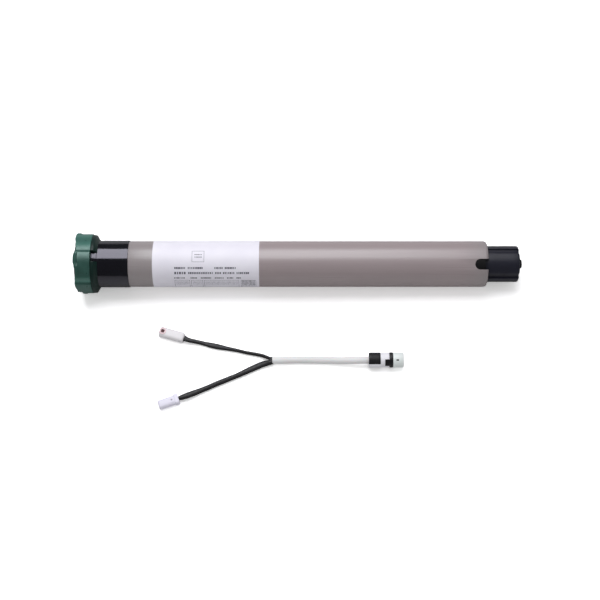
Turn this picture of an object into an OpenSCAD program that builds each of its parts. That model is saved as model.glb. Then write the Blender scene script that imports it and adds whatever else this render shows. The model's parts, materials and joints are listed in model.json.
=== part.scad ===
// Tubular roller blind motor, with its detachable two-legged supply lead lying beside it.
// +X runs along the motor's axis from the fixed head to the drive hub, and +Z is up.
// The origin is the centre of the head's end face. Lengths are in millimetres.

/* [Tube] */
// Outer diameter of the motor tube
tube_d = 45; // [40:0.5:48]
// Length of the motor tube
tube_l = 350; // [310:5:420]
// Wall of the motor tube
tube_wall = 1.2; // [1:0.1:1.4]
// Radius of the rolled rim at the drive end
rim_r = 3; // [2:0.25:3.5]
// Width of the torque slot at the drive end
slot_w = 10.4; // [8:0.2:12]
// Length of the torque slot, from the rim to its round end
slot_l = 13.4; // [12:0.2:15]
// Angle of the torque slot about the axis, from +Y towards +Z
slot_angle = 117; // [100:1:130]

/* [Rating label] */
// Length of the bare label
label_l = 103.5; // [80:0.5:120]
// Distance from the tube's head end to the label
label_inset = 23.7; // [15:0.1:40]
// Angle of the tube that the label covers
label_wrap = 250; // [180:5:300]

/* [Head] */
// Outer diameter of the head
head_d = 46.2; // [45.8:0.1:48]
// Length of the head outside the tube
head_l = 52.5; // [48:0.5:60]
// Length of the head's spigot inside the tube
spigot_l = 29; // [20:1:30]
// Diameter of the flange in front of the crown
flange_d = 48.4; // [48:0.1:49]
// Diameter of the head's flat end face
face_d = 41; // [40:0.2:42]
// Distance from the head's end face to the back of its flange
flange_t = 3; // [2.6:0.1:3.2]
// Thickness of the head's front wall
front_wall = 16; // [15:0.5:18]
// Wall of the head's spigot
spigot_wall = 3.7; // [3:0.1:5]
// Pitch circle of the bracket screw holes
bolt_pcd = 34; // [32:0.5:36]
// Number of bracket screw holes
bolt_count = 4; // [3:1:4]
// Diameter of a bracket screw hole
bolt_hole_d = 5; // [4:0.5:5.5]
// Depth of a bracket screw hole
bolt_depth = 12; // [8:0.5:13]

/* [Crown] */
// Distance from the head's end face to the crown's front
crown_x0 = 2; // [1.8:0.1:2.2]
// Width of the crown
crown_l = 14.7; // [14:0.1:15]
// Diameter of the crown between its pads
crown_d = 55.2; // [53:0.2:56]
// Diameter over the crown's tallest pads
pad_d = 58.9; // [58:0.1:60]
// Diameter over the crown's stop ears
ear_d = 61; // [60.5:0.1:64]
// Length of a stop ear along the axis
ear_l = 5.4; // [5:0.1:6]
// Angle of one stop ear
ear_wrap = 24; // [16:1:28]

/* [Collar] */
// Diameter of the collar behind the crown
collar_d = 57.2; // [56:0.1:58]
// Width of the collar
collar_l = 6; // [5.5:0.1:6.5]
// Width of the latch tongue that holds the collar
tongue_w = 10; // [8:0.5:12]
// Angle of the latch tongue about the axis, from +Y towards +Z
tongue_angle = 100; // [90:1:110]

/* [Lead socket] */
// Diameter of the socket's bore
socket_d = 15; // [14.6:0.1:16]
// Depth of the socket's bore
socket_depth = 10.5; // [9:0.5:12]
// Outer diameter of the socket insert
socket_outer_d = 19.6; // [19:0.2:21]
// Pitch circle of the contacts
contact_pcd = 6.4; // [5.6:0.2:7]
// Diameter of a contact pin
contact_d = 1.6; // [1.2:0.1:1.8]
// Number of contacts
contact_count = 4; // [2:1:4]

/* [Drive hub] */
// Gap around the hub's lobes where they leave the tube
hub_clearance = 1.8; // [1.2:0.1:2.5]
// Length of the hub outside the tube
hub_l = 31; // [25:0.5:40]
// Width of a hub groove
hub_groove_w = 6.2; // [4:0.1:6.6]
// Depth of a hub groove
hub_groove_depth = 2.2; // [1.5:0.1:3]
// Angle of the first hub lobe about the axis, from +Y towards +Z
hub_angle = 25; // [0:1:89]
// Diameter of the hub screw's head
hub_screw_d = 8.9; // [8:0.1:10]
// Height of the hub screw's head
hub_screw_h = 3.8; // [3:0.1:5]
// Diameter of the output shaft
output_d = 16; // [15:0.5:17]
// Width across the square end of the output shaft
square_w = 11.2; // [10:0.1:11.4]

/* [Gear train] */
// Teeth of the ring gear
ring_teeth = 48; // [48:3:48]
// Teeth of a sun gear
sun_teeth = 12; // [12:3:12]
// Planets in a stage
planet_count = 3; // [3:1:3]
// Play between teeth, along the pitch circle
backlash = 0.2; // [0.15:0.01:0.25]
// Width of the first stage's planets
stage_1_w = 8; // [6:0.5:10]
// Width of the second stage's planets
stage_2_w = 10; // [8:0.5:12]
// Width of the third stage's planets
stage_3_w = 14; // [12:0.5:16]
// Diameter of a planet's pin
pin_d = 4; // [3:0.1:5]

/* [Motor] */
// Thickness of the rubber rings between the motor can and the tube
damper_t = 2.1; // [1.6:0.1:2.6]
// Length of the motor can
can_l = 66; // [58:1:80]
// Wall of the motor can
can_wall = 1.6; // [1.2:0.1:2]
// Diameter of the motor shaft
shaft_d = 4; // [3:0.1:4]
// Thickness of the magnets
magnet_t = 4.25; // [3.5:0.25:5]
// Gap between the magnets and the armature
air_gap = 0.7; // [0.5:0.1:1]
// Number of armature slots
slot_count = 7; // [5:2:9]

/* [Electronics] */
// Gap between the control board's edges and the wall of its carrier
board_side_gap = 1.7; // [1:0.1:2.5]
// Wall of the board carrier
carrier_wall = 1.5; // [1.2:0.1:2]
// Thickness of the control board
board_t = 1.6; // [1:0.1:2]

/* [Supply lead] */
// Diameter of the lead's round cable
cable_d = 6.8; // [6.2:0.1:7]
// Diameter of the leg to the first connector
leg_a_d = 3.8; // [3.4:0.1:3.8]
// Diameter of the leg to the second connector
leg_b_d = 4.8; // [4:0.1:4.8]
// Diameter of the plug
plug_d = 14.8; // [14:0.1:14.9]
// Length of the plug's black grip
grip_l = 10.5; // [9:0.5:12]
// Length of the plug's white body
plug_body_l = 8.6; // [8:0.1:9]
// Width of the plug's latch ring
latch_l = 3.6; // [3:0.1:4]
// Length of the plug's nose
nose_l = 10.2; // [9:0.1:10.4]

/* [Clearances] */
// Radial clearance of a running fit
running = 0.05; // [0.03:0.01:0.08]
// Radial clearance of two pieces that are fixed together
seat = 0.05; // [0.02:0.01:0.1]
// Gap between two pieces that pass each other
gap = 0.4; // [0.3:0.05:0.5]

/* [Hidden] */
$fn = 96;

// Places along the axis, from the head to the hub
tube_r = tube_d / 2;
tube_in_r = tube_r - tube_wall;
tube_x0 = head_l;
tube_x1 = tube_x0 + tube_l;
inner_r = tube_in_r - 2 * seat;
spigot_r = inner_r;
head_r = head_d / 2;
head_bore_r = spigot_r - spigot_wall;
crown_x1 = crown_x0 + crown_l;
collar_x0 = crown_x1 + 0.3;
collar_x1 = collar_x0 + collar_l;
collar_shoulder = 3;
rib_inset = 2;
rib_depth = 0.8;
cap_x1 = tube_x1 - rim_r - 0.3;
cap_l = 16;
cap_x0 = cap_x1 - cap_l;
hub_x0 = cap_x1 + 0.3;
hub_x1 = tube_x1 + hub_l;
hub_r = tube_r - rim_r - hub_clearance;
square_l = hub_l - 7;
screw_grip = 11;

// Gear stages, worked back from the cap. Each stage is its planets and then its carrier plate.
plate_1_t = 3;
plate_2_t = 3.5;
plate_3_t = 5;
plate_3_x0 = cap_x0 - gap - plate_3_t;
planet_3_x0 = plate_3_x0 - gap - stage_3_w;
plate_2_x0 = planet_3_x0 - gap - plate_2_t;
planet_2_x0 = plate_2_x0 - gap - stage_2_w;
plate_1_x0 = planet_2_x0 - gap - plate_1_t;
planet_1_x0 = plate_1_x0 - gap - stage_1_w;
ring_x0 = planet_1_x0 - 1;
gearbox_plate_t = 6;
gearbox_plate_x0 = ring_x0 - gearbox_plate_t;
gear_m = tube_d / 60;
planet_teeth = (ring_teeth - sun_teeth) / 2;
orbit_r = (sun_teeth + planet_teeth) * gear_m / 2;
carrier_r = ring_teeth * gear_m / 2 - gear_m - 0.75;
pin_r = pin_d / 2;
output_r = output_d / 2;

// Motor, worked back from the gearbox
can_r = tube_in_r - damper_t;
can_in_r = can_r - can_wall;
can_x1 = gearbox_plate_x0;
can_x0 = can_x1 - can_l;
bell_t = 6;
bell_x0 = can_x0 - bell_t;
bush_l = 5;
bush_r = 5;
shaft_r = shaft_d / 2;
commutator_l = 5;
commutator_r = 5;
commutator_x0 = can_x0 + 2.5;
winding_l = 6;
core_x0 = commutator_x0 + commutator_l + 1.5 + winding_l;
core_x1 = can_x1 - can_wall - 5.4 - winding_l;
core_l = core_x1 - core_x0;
armature_r = can_in_r - seat - magnet_t - air_gap;
magnet_overhang = 4;
encoder_board_x0 = bell_x0 - 10.5;
encoder_board_t = 1.6;
encoder_board_r = can_r - 5.7;
post_r = 1.6;
post_place = encoder_board_r - 2.5;
encoder_magnet_x0 = bell_x0 - 6.5;
encoder_magnet_l = 4;
screw_r = 1.5;
screw_place = 10;

// Control board, just behind the head's spigot
spigot_x1 = tube_x0 + spigot_l;
carrier_x0 = spigot_x1;
board_x0 = carrier_x0 + 4;
board_carrier_x1 = encoder_board_x0 - 4.3;
board_x1 = board_carrier_x1 - 4;
board_l = board_x1 - board_x0;
board_w = 2 * (inner_r - carrier_wall - board_side_gap);
board_top = board_t;
header_l = 8;
header_h = 6.4;
header_x0 = board_x0 + 2;
header_x1 = board_x1 - 2;
wire_z = board_top + header_h / 2;

// Cylinder along +X from x0
module rod(x0, len, r, sides = 96) {
    translate([x0, 0, 0]) rotate([0, 90, 0]) cylinder(h = len, r = r, $fn = sides);
}

// Turned shape about the X axis, from a profile of [radius, x] points
module turned(points, wrap = 360) {
    rotate([90, 0, 90]) rotate_extrude(angle = wrap) polygon(points);
}

// Extrusion along +X of a drawing in the YZ plane
module along(x0, len) {
    translate([x0, 0, 0]) rotate([90, 0, 90]) linear_extrude(len) children();
}

// Turns its children about the X axis, from +Y towards +Z
module about(angle) {
    rotate([angle, 0, 0]) children();
}

// Box by its low corner and its size
module box(low, size) {
    translate(low) cube(size);
}

// Points of an arc, from a0 to a1 degrees
function arc(cx, cy, r, a0, a1, n) =
    [for (i = [0 : n]) [cx + r * cos(a0 + (a1 - a0) * i / n), cy + r * sin(a0 + (a1 - a0) * i / n)]];

// Point at a radius and an angle
function polar(r, a) = [r * cos(a), r * sin(a)];

// A gear's outline with involute flanks. The outline has three points a flank.
pressure = 20;
function involute(r, base) = r <= base ? 0 : sqrt(r * r / base / base - 1) * 180 / PI - acos(base / r);
function half_tooth(r, pitch, teeth, play) =
    90 / teeth - play / 2 / pitch * 180 / PI / 2
    + involute(pitch, pitch * cos(pressure)) - involute(r, pitch * cos(pressure));
function flank_radii(root, tip, base) =
    let (low = max(root, base)) [root, low + (tip - low) * 0.3, low + (tip - low) * 0.7, tip];
function gear_outline(teeth, root, tip, play, phase) =
    let (
        pitch = teeth * gear_m / 2,
        radii = flank_radii(root, tip, pitch * cos(pressure)),
        last = len(radii) - 1
    )
    [for (t = [0 : teeth - 1]) let (mid = phase + t * 360 / teeth) each concat(
        [for (i = [0 : last]) polar(radii[i], mid - half_tooth(radii[i], pitch, teeth, play))],
        [for (i = [last : -1 : 0]) polar(radii[i], mid + half_tooth(radii[i], pitch, teeth, play))]
    )];

// Outline of the ring gear's hollow: the spaces between its teeth are drawn as teeth that grow by the play
function ring_outline() =
    gear_outline(
        ring_teeth,
        ring_teeth * gear_m / 2 - 0.8 * gear_m,
        ring_teeth * gear_m / 2 + 1.25 * gear_m,
        -backlash,
        180 / ring_teeth
    );
function sun_outline() =
    gear_outline(
        sun_teeth,
        sun_teeth * gear_m / 2 - 1.25 * gear_m,
        sun_teeth * gear_m / 2 + 0.9 * gear_m,
        backlash,
        0
    );
function planet_outline() =
    gear_outline(
        planet_teeth,
        planet_teeth * gear_m / 2 - 1.2 * gear_m,
        planet_teeth * gear_m / 2 + 0.9 * gear_m,
        backlash,
        180 / planet_teeth
    );

// Solid that gives the torque slot's outline, as seen from outside the tube
module slot_prism(w, x_end) {
    low = tube_r - 8.5;
    x0 = tube_x1 - slot_l + slot_w / 2;
    about(slot_angle) {
        translate([x0, low, 0]) rotate([-90, 0, 0]) cylinder(h = 12, d = w);
        box([x0, low, -w / 2], [x_end - x0, 12, w]);
    }
}

// Head, crown and collar

module head_body() {
    rib_x0 = collar_x0 + rib_inset - 0.2;
    rib_x1 = collar_x0 + rib_inset + 2.2;
    flange_r = flange_d / 2;
    socket_r = socket_outer_d / 2;
    color("#141419") {
        difference() {
            turned([
                [socket_r + seat, 0], [face_d / 2, 0], [flange_r, 1.5], [flange_r, flange_t],
                [head_r, flange_t], [head_r, rib_x0], [head_r - rib_depth, rib_x0],
                [head_r - rib_depth, rib_x1], [head_r, rib_x1], [head_r, tube_x0 - 0.2],
                [head_r - 0.2, tube_x0], [spigot_r, tube_x0], [spigot_r, spigot_x1 - 0.8],
                [spigot_r - 0.8, spigot_x1], [head_bore_r, spigot_x1], [head_bore_r, front_wall + 2.2],
                [socket_r + 2.1, front_wall + 2.2], [socket_r + 2.1, front_wall],
                [socket_r + seat, front_wall]
            ]);
            for (i = [0 : bolt_count - 1])
                about(45 + i * 360 / bolt_count)
                    translate([0, bolt_pcd / 2, 0]) rod(-1, bolt_depth + 1, bolt_hole_d / 2);
        }
        head_tongue();
    }
}

// Latch tongue on the head: it stands in the collar's notch and slopes down to the head
module head_tongue() {
    high = collar_d / 2 - 0.8;
    about(tongue_angle)
        translate([0, 0, -tongue_w / 2]) linear_extrude(tongue_w) polygon([
            [collar_x0 + 0.3, head_r - 1.2], [collar_x0 + 0.3, high], [collar_x0 + 2.4, high - 0.6],
            [collar_x1 - 0.9, head_r + 1.5], [collar_x1 - 0.6, head_r - 1.2]
        ]);
}

// Pads of the crown: middle and width as angles, and how far each is below the tallest
pads = [[24, 62, 0.4], [123, 64, 0.05], [189, 52, 0.85], [284, 70, 0]];

module crown() {
    bore_r = head_r + running;
    flange_seat_r = flange_d / 2 + 0.3;
    base_r = crown_d / 2;
    pad_r = pad_d / 2;
    ear_x0 = crown_x0 - 1.75;
    ear_x1 = ear_x0 + ear_l;
    lip_r = flange_seat_r + 0.3;
    front_fillet = base_r - lip_r;
    color("#466e63") difference() {
        union() {
            turned(concat(
                [[bore_r, crown_x0], [lip_r, crown_x0]],
                arc(lip_r, crown_x0 + front_fillet, front_fillet, -90, 0, 6),
                [[base_r, crown_x1 - 0.5], [base_r - 0.5, crown_x1], [bore_r, crown_x1]]
            ));
            for (pad = pads)
                about(pad[0] - pad[1] / 2)
                    crown_pad(pad_r - pad[2], crown_x0 + 0.4, crown_x1 - 0.4, 3.2, pad[1]);
            for (a = [24, 108, 301])
                about(a - ear_wrap / 2) crown_pad(ear_d / 2, ear_x0, ear_x1, 1.6, ear_wrap);
            about(204 - 10) crown_pad(pad_r, ear_x1 + 0.5, ear_x1 + 5, 1.2, 20);
        }
        rod(-1, flange_t + 1.3, flange_seat_r);
        rod(-1, crown_x1 + 2, bore_r);
    }
}

// Raised pad of the crown, over an angle, with a rounded front edge
module crown_pad(r, x0, x1, fillet, wrap) {
    inner = crown_d / 2 - 2.5;
    turned(concat(
        [[inner, x0]],
        arc(r - fillet, x0 + fillet, fillet, -90, 0, 5),
        [[r, x1 - 0.4], [r - 0.4, x1], [inner, x1]]
    ), wrap);
}

module crown_collar() {
    outer = collar_d / 2;
    bore_r = head_r + seat;
    rib_r = bore_r - rib_depth;
    rib_x0 = collar_x0 + rib_inset;
    rib_x1 = rib_x0 + 2;
    color("#1b2322") difference() {
        turned([
            [bore_r, collar_x0], [outer, collar_x0], [outer - 0.2, collar_x0 + collar_shoulder],
            [bore_r + 0.3, collar_x1], [bore_r, collar_x1], [bore_r, rib_x1], [rib_r, rib_x1],
            [rib_r, rib_x0], [bore_r, rib_x0]
        ]);
        about(tongue_angle)
            box([collar_x0 - 1, 0, -tongue_w / 2 - 0.5], [collar_l + 2, outer + 2, tongue_w + 1]);
    }
}

module socket_sleeve() {
    color("#2b2b2e") difference() {
        rod(0.3, front_wall - 0.3, socket_outer_d / 2);
        rod(-1, front_wall + 2, socket_d / 2);
    }
}

// Base of the socket: it closes the sleeve and holds the contacts
module socket_base() {
    color("#232326") difference() {
        union() {
            rod(socket_depth + 0.3, front_wall - socket_depth, socket_d / 2 - seat);
            rod(front_wall, 2, socket_outer_d / 2 + 2);
        }
        for (i = [0 : contact_count - 1])
            about(45 + i * 360 / contact_count)
                translate([0, contact_pcd / 2, 0]) rod(socket_depth, front_wall, contact_d / 2 + seat);
    }
}

module socket_contacts() {
    color("#c8a24a")
        for (i = [0 : contact_count - 1])
            about(45 + i * 360 / contact_count)
                translate([0, contact_pcd / 2, 0])
                    rod(socket_depth - 6, front_wall + 9 - socket_depth, contact_d / 2, 24);
}

// Tube and label

module motor_tube() {
    rim_c = tube_r - rim_r;
    color("#91858a") difference() {
        turned(concat(
            [[tube_in_r, tube_x0], [tube_r - 0.2, tube_x0], [tube_r, tube_x0 + 0.2]],
            arc(rim_c, tube_x1 - rim_r, rim_r, 0, 90, 8),
            arc(rim_c, tube_x1 - rim_r, rim_r - tube_wall, 90, 0, 8)
        ));
        slot_prism(slot_w, tube_x1 + 1);
    }
}

module rating_label() {
    inner = tube_r + seat;
    outer = inner + 0.15;
    x0 = tube_x0 + label_inset;
    color("#e9e9ec") about(95 - label_wrap / 2)
        turned([[inner, x0], [outer, x0], [outer, x0 + label_l], [inner, x0 + label_l]], label_wrap);
}

// Electronics

module board_carrier() {
    outer = inner_r;
    inner = outer - carrier_wall;
    half = board_w / 2;
    color("#3a3d42") along(carrier_x0, board_carrier_x1 - carrier_x0) {
        difference() {
            circle(outer);
            circle(inner);
            translate([-tube_r, 4]) square([2 * tube_r, tube_r]);
        }
        for (s = [-1, 1]) {
            intersection() {
                circle(inner + 0.5);
                translate([s > 0 ? half - 2 : -inner - 2, -1.6]) square([inner + 4 - half, 1.6 - seat]);
            }
            intersection() {
                circle(inner + 0.5);
                translate([s > 0 ? half - 2 : -inner - 2, board_top + seat]) square([inner + 4 - half, 1.4]);
            }
        }
    }
}

module control_board() {
    color("#1f6b3f") box([board_x0, -board_w / 2, 0], [board_l, board_w, board_t]);
}

// Place along the board, and a length on it, as parts of its length
function on_board(f) = board_x0 + f * board_l;

module board_capacitors() {
    r = board_w / 6;
    color("#33343c") for (f = [0.17, 0.34])
        translate([on_board(f), 0, board_top + r]) rod(0, board_l / 7, r, 48);
}

module board_chips() {
    l = board_l;
    w = board_w;
    color("#202124") {
        box([on_board(0.095), -w / 4, board_top], [l * 0.045, w / 2, 1.8]);
        box([on_board(0.535), -w / 6, board_top], [l * 0.08, w / 3, 1.6]);
        for (y = [-0.28, 0.11])
            box([on_board(0.65), y * w, board_top], [l * 0.065, w / 6, 2.4]);
        box([on_board(0.755), -w * 0.22, board_top], [l * 0.09, w * 0.44, 3.2]);
    }
}

module board_headers() {
    color("#e8e6de") {
        box([header_x0, -6, board_top], [header_l, 12, header_h]);
        box([header_x1 - header_l, -4, board_top], [header_l, 8, header_h]);
    }
}

// Tube swept along points, closed at both ends. Its rings stand square to the path.
function unit(v) = v / norm(v);
function path_way(p, i) = unit(p[min(i + 1, len(p) - 1)] - p[max(i - 1, 0)]);
function ring_at(c, way, r, sides) =
    let (side = unit(cross([0, 0, 1], way)), lift = cross(way, side))
    [for (k = [0 : sides - 1]) let (a = 360 * (k + 0.5) / sides) c + r * (cos(a) * side + sin(a) * lift)];
module swept(p, r, sides) {
    n = len(p);
    points = [for (i = [0 : n - 1]) each ring_at(p[i], path_way(p, i), r, sides)];
    walls = [for (i = [0 : n - 2], k = [0 : sides - 1]) each
        let (a = i * sides + k, b = i * sides + (k + 1) % sides)
        [[a, a + sides, b], [b, a + sides, b + sides]]];
    first = [[for (k = [0 : sides - 1]) k]];
    last = [[for (k = [sides - 1 : -1 : 0]) (n - 1) * sides + k]];
    polyhedron(points = points, faces = concat(first, walls, last));
}

// Wires from the socket's contacts to the board's first header
module socket_leads() {
    x0 = front_wall + 3;
    color("#b03a2e") for (i = [0 : contact_count - 1]) {
        from = polar(contact_pcd / 2, 45 + i * 360 / contact_count);
        to = [4.5, -4.5, -1.5, 1.5][i];
        swept([
            [x0, from[0], from[1]], [x0 + 6, from[0], from[1]], [x0 + 22, to, wire_z],
            [header_x0 - 8, to, wire_z], [header_x0, to, wire_z]
        ], 0.8, 6);
    }
}

// Wires from the board's second header past the encoder board to the end bell
module motor_leads() {
    side = can_r - 3.7;
    color("#20242c") for (s = [-1, 1])
        swept([
            [header_x1, s * 2, wire_z], [header_x1 + 2, s * 2, wire_z], [header_x1 + 5, s * 9, wire_z + 2],
            [header_x1 + 8, s * side, wire_z + 2], [bell_x0 - 2, s * side, wire_z + 2],
            [bell_x0, s * side, wire_z + 2]
        ], 0.9, 6);
}

module encoder_board() {
    color("#1f6b3f") rod(encoder_board_x0, encoder_board_t, encoder_board_r);
}

// Motor

module end_bell() {
    posts_x0 = encoder_board_x0 + encoder_board_t;
    brush_x = commutator_x0 + commutator_l / 2;
    color("#26262a") difference() {
        union() {
            rod(bell_x0, bell_t, can_r);
            rod(can_x0, 1.5, can_in_r - seat);
            for (a = [90, 270])
                about(a) translate([0, post_place, 0]) rod(posts_x0, bell_x0 - posts_x0, post_r, 32);
            for (a = [0, 180])
                about(a) box([can_x0, 6.5, -3], [brush_x + 3 - can_x0, 5.5, 6]);
        }
        rod(bell_x0 + 0.5, bush_l + seat, bush_r + seat);
        rod(bell_x0 - 1, bell_t + 4, shaft_r + 1);
        for (a = [0, 180])
            about(a) box([brush_x - 1.5 - seat, 0, -1.5 - seat], [3 + 2 * seat, 20, 3 + 2 * seat]);
        rod(can_x0 + 0.5, 20, 6);
    }
}

module brushes() {
    brush_x = commutator_x0 + commutator_l / 2;
    color("#3c3a3a") for (a = [0, 180])
        about(a) box([brush_x - 1.5, commutator_r + 0.3, -1.5], [3, 6, 3]);
}

module shaft_bushes() {
    color("#b08d57") {
        for (x = [bell_x0 + 0.5, can_x1 + 0.5]) difference() {
            rod(x, bush_l, bush_r);
            rod(x - 1, bush_l + 2, shaft_r + running);
        }
    }
}

module motor_can() {
    color("#8c8f94") difference() {
        rod(can_x0, can_l, can_r);
        rod(can_x0 - 1, can_l + 1 - can_wall, can_in_r);
        rod(can_x0, can_l + 1, bush_r + seat);
        for (a = [0, 180])
            about(a) translate([0, screw_place, 0]) rod(can_x1 - 5, 10, screw_r + seat);
    }
}

module motor_magnets() {
    outer = can_in_r - seat;
    inner = outer - magnet_t;
    x0 = core_x0 - magnet_overhang;
    x1 = core_x1 + magnet_overhang;
    color("#45454b") for (a = [20, 200])
        about(a) turned([[inner, x0], [outer, x0], [outer, x1], [inner, x1]], 140);
}

module motor_dampers() {
    color("#1a1a1c") for (x = [can_x0 + 4, can_x1 - 14]) difference() {
        rod(x, 10, inner_r);
        rod(x - 1, 12, can_r + seat);
    }
}

module gearbox_plate() {
    color("#9a9da1") difference() {
        rod(gearbox_plate_x0, gearbox_plate_t, inner_r);
        rod(gearbox_plate_x0 - 1, bush_l + 1.5, bush_r + seat);
        rod(gearbox_plate_x0, 20, shaft_r + 1);
        for (a = [0, 180]) about(a) translate([0, screw_place, 0]) {
            rod(gearbox_plate_x0 - 1, 20, screw_r + seat);
            rod(gearbox_plate_x0 + 3.5, 20, 2.8 + seat);
        }
    }
}

module motor_screws() {
    color("#8d8f92") for (a = [0, 180]) about(a) translate([0, screw_place, 0]) difference() {
        union() {
            rod(can_x1 - 4, 7.6, screw_r);
            rod(gearbox_plate_x0 + 3.5 + seat, 2.2, 2.8);
        }
        box([gearbox_plate_x0 + 4.8, -3, -0.4], [2, 6, 0.8]);
    }
}

module rotor_shaft() {
    x1 = planet_1_x0 + stage_1_w;
    color("#b9bcc0") rod(encoder_magnet_x0 - 0.5, x1 - encoder_magnet_x0 + 0.5, shaft_r);
}

module armature_core() {
    color("#76787c") difference() {
        rod(core_x0, core_l, armature_r);
        rod(core_x0 - 1, core_l + 2, shaft_r + seat);
        for (i = [0 : slot_count - 1])
            about(i * 360 / slot_count) box([core_x0 - 1, 6.5, -1.4], [core_l + 2, 20, 2.8]);
    }
}

module armature_windings() {
    inner = 3.5;
    outer = armature_r - 0.8;
    color("#a8551f") {
        for (x = [core_x0 - winding_l, core_x1]) difference() {
            rod(x, winding_l, outer);
            rod(x - 1, winding_l + 2, inner);
        }
        for (i = [0 : slot_count - 1])
            about(i * 360 / slot_count) box([core_x0 - 0.5, 6.8, -1.3], [core_l + 1, outer - 7.2, 2.6]);
    }
}

module commutator() {
    color("#b87333") difference() {
        rod(commutator_x0, commutator_l, commutator_r);
        rod(commutator_x0 - 1, commutator_l + 2, shaft_r + seat);
        for (i = [0 : slot_count - 1])
            about(i * 360 / slot_count) box([commutator_x0 - 1, 4.2, -0.2], [commutator_l + 2, 2, 0.4]);
    }
}

module encoder_magnet() {
    color("#55565c") difference() {
        rod(encoder_magnet_x0, encoder_magnet_l, 6);
        rod(encoder_magnet_x0 - 1, encoder_magnet_l + 2, shaft_r + seat);
    }
}

// Gearbox

module ring_gear() {
    color("#8f9296") difference() {
        rod(ring_x0, cap_x0 - ring_x0, inner_r);
        along(ring_x0 - 1, cap_x0 - ring_x0 + 2) polygon(ring_outline());
    }
}

module sun_gear() {
    color("#a7a9ac") difference() {
        along(planet_1_x0 - 0.5, stage_1_w + 0.3) polygon(sun_outline());
        rod(planet_1_x0 - 2, stage_1_w + 4, shaft_r + seat);
    }
}

// Planet carrier with the next stage's sun gear on it
module carrier(x0, t, next_w) {
    difference() {
        union() {
            rod(x0, t, carrier_r);
            along(x0 + t - 0.5, gap + next_w + 0.3) polygon(sun_outline());
        }
        for (i = [0 : planet_count - 1])
            about(i * 360 / planet_count)
                translate([0, orbit_r, 0]) rod(x0 - 1, t + 2, pin_r + seat);
    }
}

module carrier_pins(x0, len) {
    for (i = [0 : planet_count - 1])
        about(i * 360 / planet_count) translate([0, orbit_r, 0]) rod(x0, len, pin_r, 48);
}

// Planet gear at its place on the carrier, with a gap between teeth towards the sun
module planet(i, x0, w) {
    about(i * 360 / planet_count) translate([0, orbit_r, 0]) difference() {
        along(x0, w) polygon(planet_outline());
        rod(x0 - 1, w + 2, pin_r + running);
    }
}

module carrier_1() {
    color("#d8d2c0") carrier(plate_1_x0, plate_1_t, stage_2_w);
}

module carrier_1_pins() {
    color("#b9bcc0") carrier_pins(planet_1_x0, stage_1_w + gap + plate_1_t);
}

module carrier_2() {
    color("#c9c3b4") carrier(plate_2_x0, plate_2_t, stage_3_w);
}

module carrier_2_pins() {
    color("#b9bcc0") carrier_pins(planet_2_x0, stage_2_w + gap + plate_2_t);
}

module planet_1(i) {
    color("#e2dccb") planet(i, planet_1_x0, stage_1_w);
}

module planet_2(i) {
    color("#bfb9a9") planet(i, planet_2_x0, stage_2_w);
}

module planet_3(i) {
    color("#9c9fa3") planet(i, planet_3_x0, stage_3_w);
}

module output_carrier() {
    round_x1 = hub_x0;
    square_x1 = hub_x0 + square_l;
    color("#9a9da1") difference() {
        union() {
            rod(plate_3_x0, plate_3_t, carrier_r);
            rod(plate_3_x0 + 1, round_x1 - plate_3_x0 - 1, output_r);
            box([round_x1 - 1, -square_w / 2, -square_w / 2], [square_x1 - round_x1 + 1, square_w, square_w]);
        }
        for (i = [0 : planet_count - 1])
            about(i * 360 / planet_count)
                translate([0, orbit_r, 0]) rod(plate_3_x0 - 1, plate_3_t + 2, pin_r + seat);
        rod(square_x1 - screw_grip - 2, 20, 2 + seat);
    }
}

module output_pins() {
    color("#b9bcc0") carrier_pins(planet_3_x0, stage_3_w + gap + plate_3_t);
}

module gearbox_cap() {
    bush_outer = output_r + 3;
    color("#17171b") difference() {
        union() {
            rod(cap_x0, cap_l, inner_r);
            intersection() {
                rod(cap_x0, cap_l, tube_r - 0.5);
                slot_prism(slot_w - 0.4, cap_x1);
            }
        }
        rod(cap_x0 + 2, cap_l, bush_outer + seat);
        rod(cap_x0 - 1, cap_l, output_r + 1);
    }
}

module output_bush() {
    color("#b08d57") difference() {
        rod(cap_x0 + 2, cap_l - 2, output_r + 3);
        rod(cap_x0, cap_l + 2, output_r + running);
    }
}

// Drive hub

module drive_hub() {
    r = hub_r;
    edge = 1.8;
    color("#27272f") difference() {
        intersection() {
            along(hub_x0, hub_x1 - hub_x0) difference() {
                circle(r);
                for (i = [0 : 3])
                    rotate(hub_angle + 45 + i * 90)
                        translate([r - hub_groove_depth, -hub_groove_w / 2]) square([10, hub_groove_w]);
            }
            turned(concat(
                [[0, hub_x0], [r, hub_x0]],
                arc(r - edge, hub_x1 - edge, edge, 0, 90, 6),
                [[0, hub_x1]]
            ));
        }
        box([hub_x0 - 1, -square_w / 2 - seat, -square_w / 2 - seat],
            [square_l + 1.3, square_w + 2 * seat, square_w + 2 * seat]);
        rod(hub_x0, hub_l + 20, 2 + seat);
    }
}

module hub_screw() {
    r = hub_screw_d / 2;
    color("#1c1c22") difference() {
        union() {
            rod(hub_x0 + square_l - screw_grip, hub_x1 - hub_x0 - square_l + screw_grip, 2);
            turned([
                [0, hub_x1], [r, hub_x1], [r, hub_x1 + hub_screw_h - 0.8],
                [r - 0.8, hub_x1 + hub_screw_h], [0, hub_x1 + hub_screw_h]
            ]);
        }
        along(hub_x1 + hub_screw_h - 2.2, 4) circle(r = 2.3, $fn = 6);
    }
}

// Supply lead. It lies on the floor, which touches the crown's lowest pad and the tube's far end.

floor_x = crown_x1;
floor_z = -pad_d / 2;
floor_tilt = atan((pad_d / 2 - tube_r) / (tube_x1 - rim_r - floor_x));
module on_floor() {
    translate([floor_x, 0, floor_z]) rotate([0, -floor_tilt, 0]) children();
}

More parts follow.
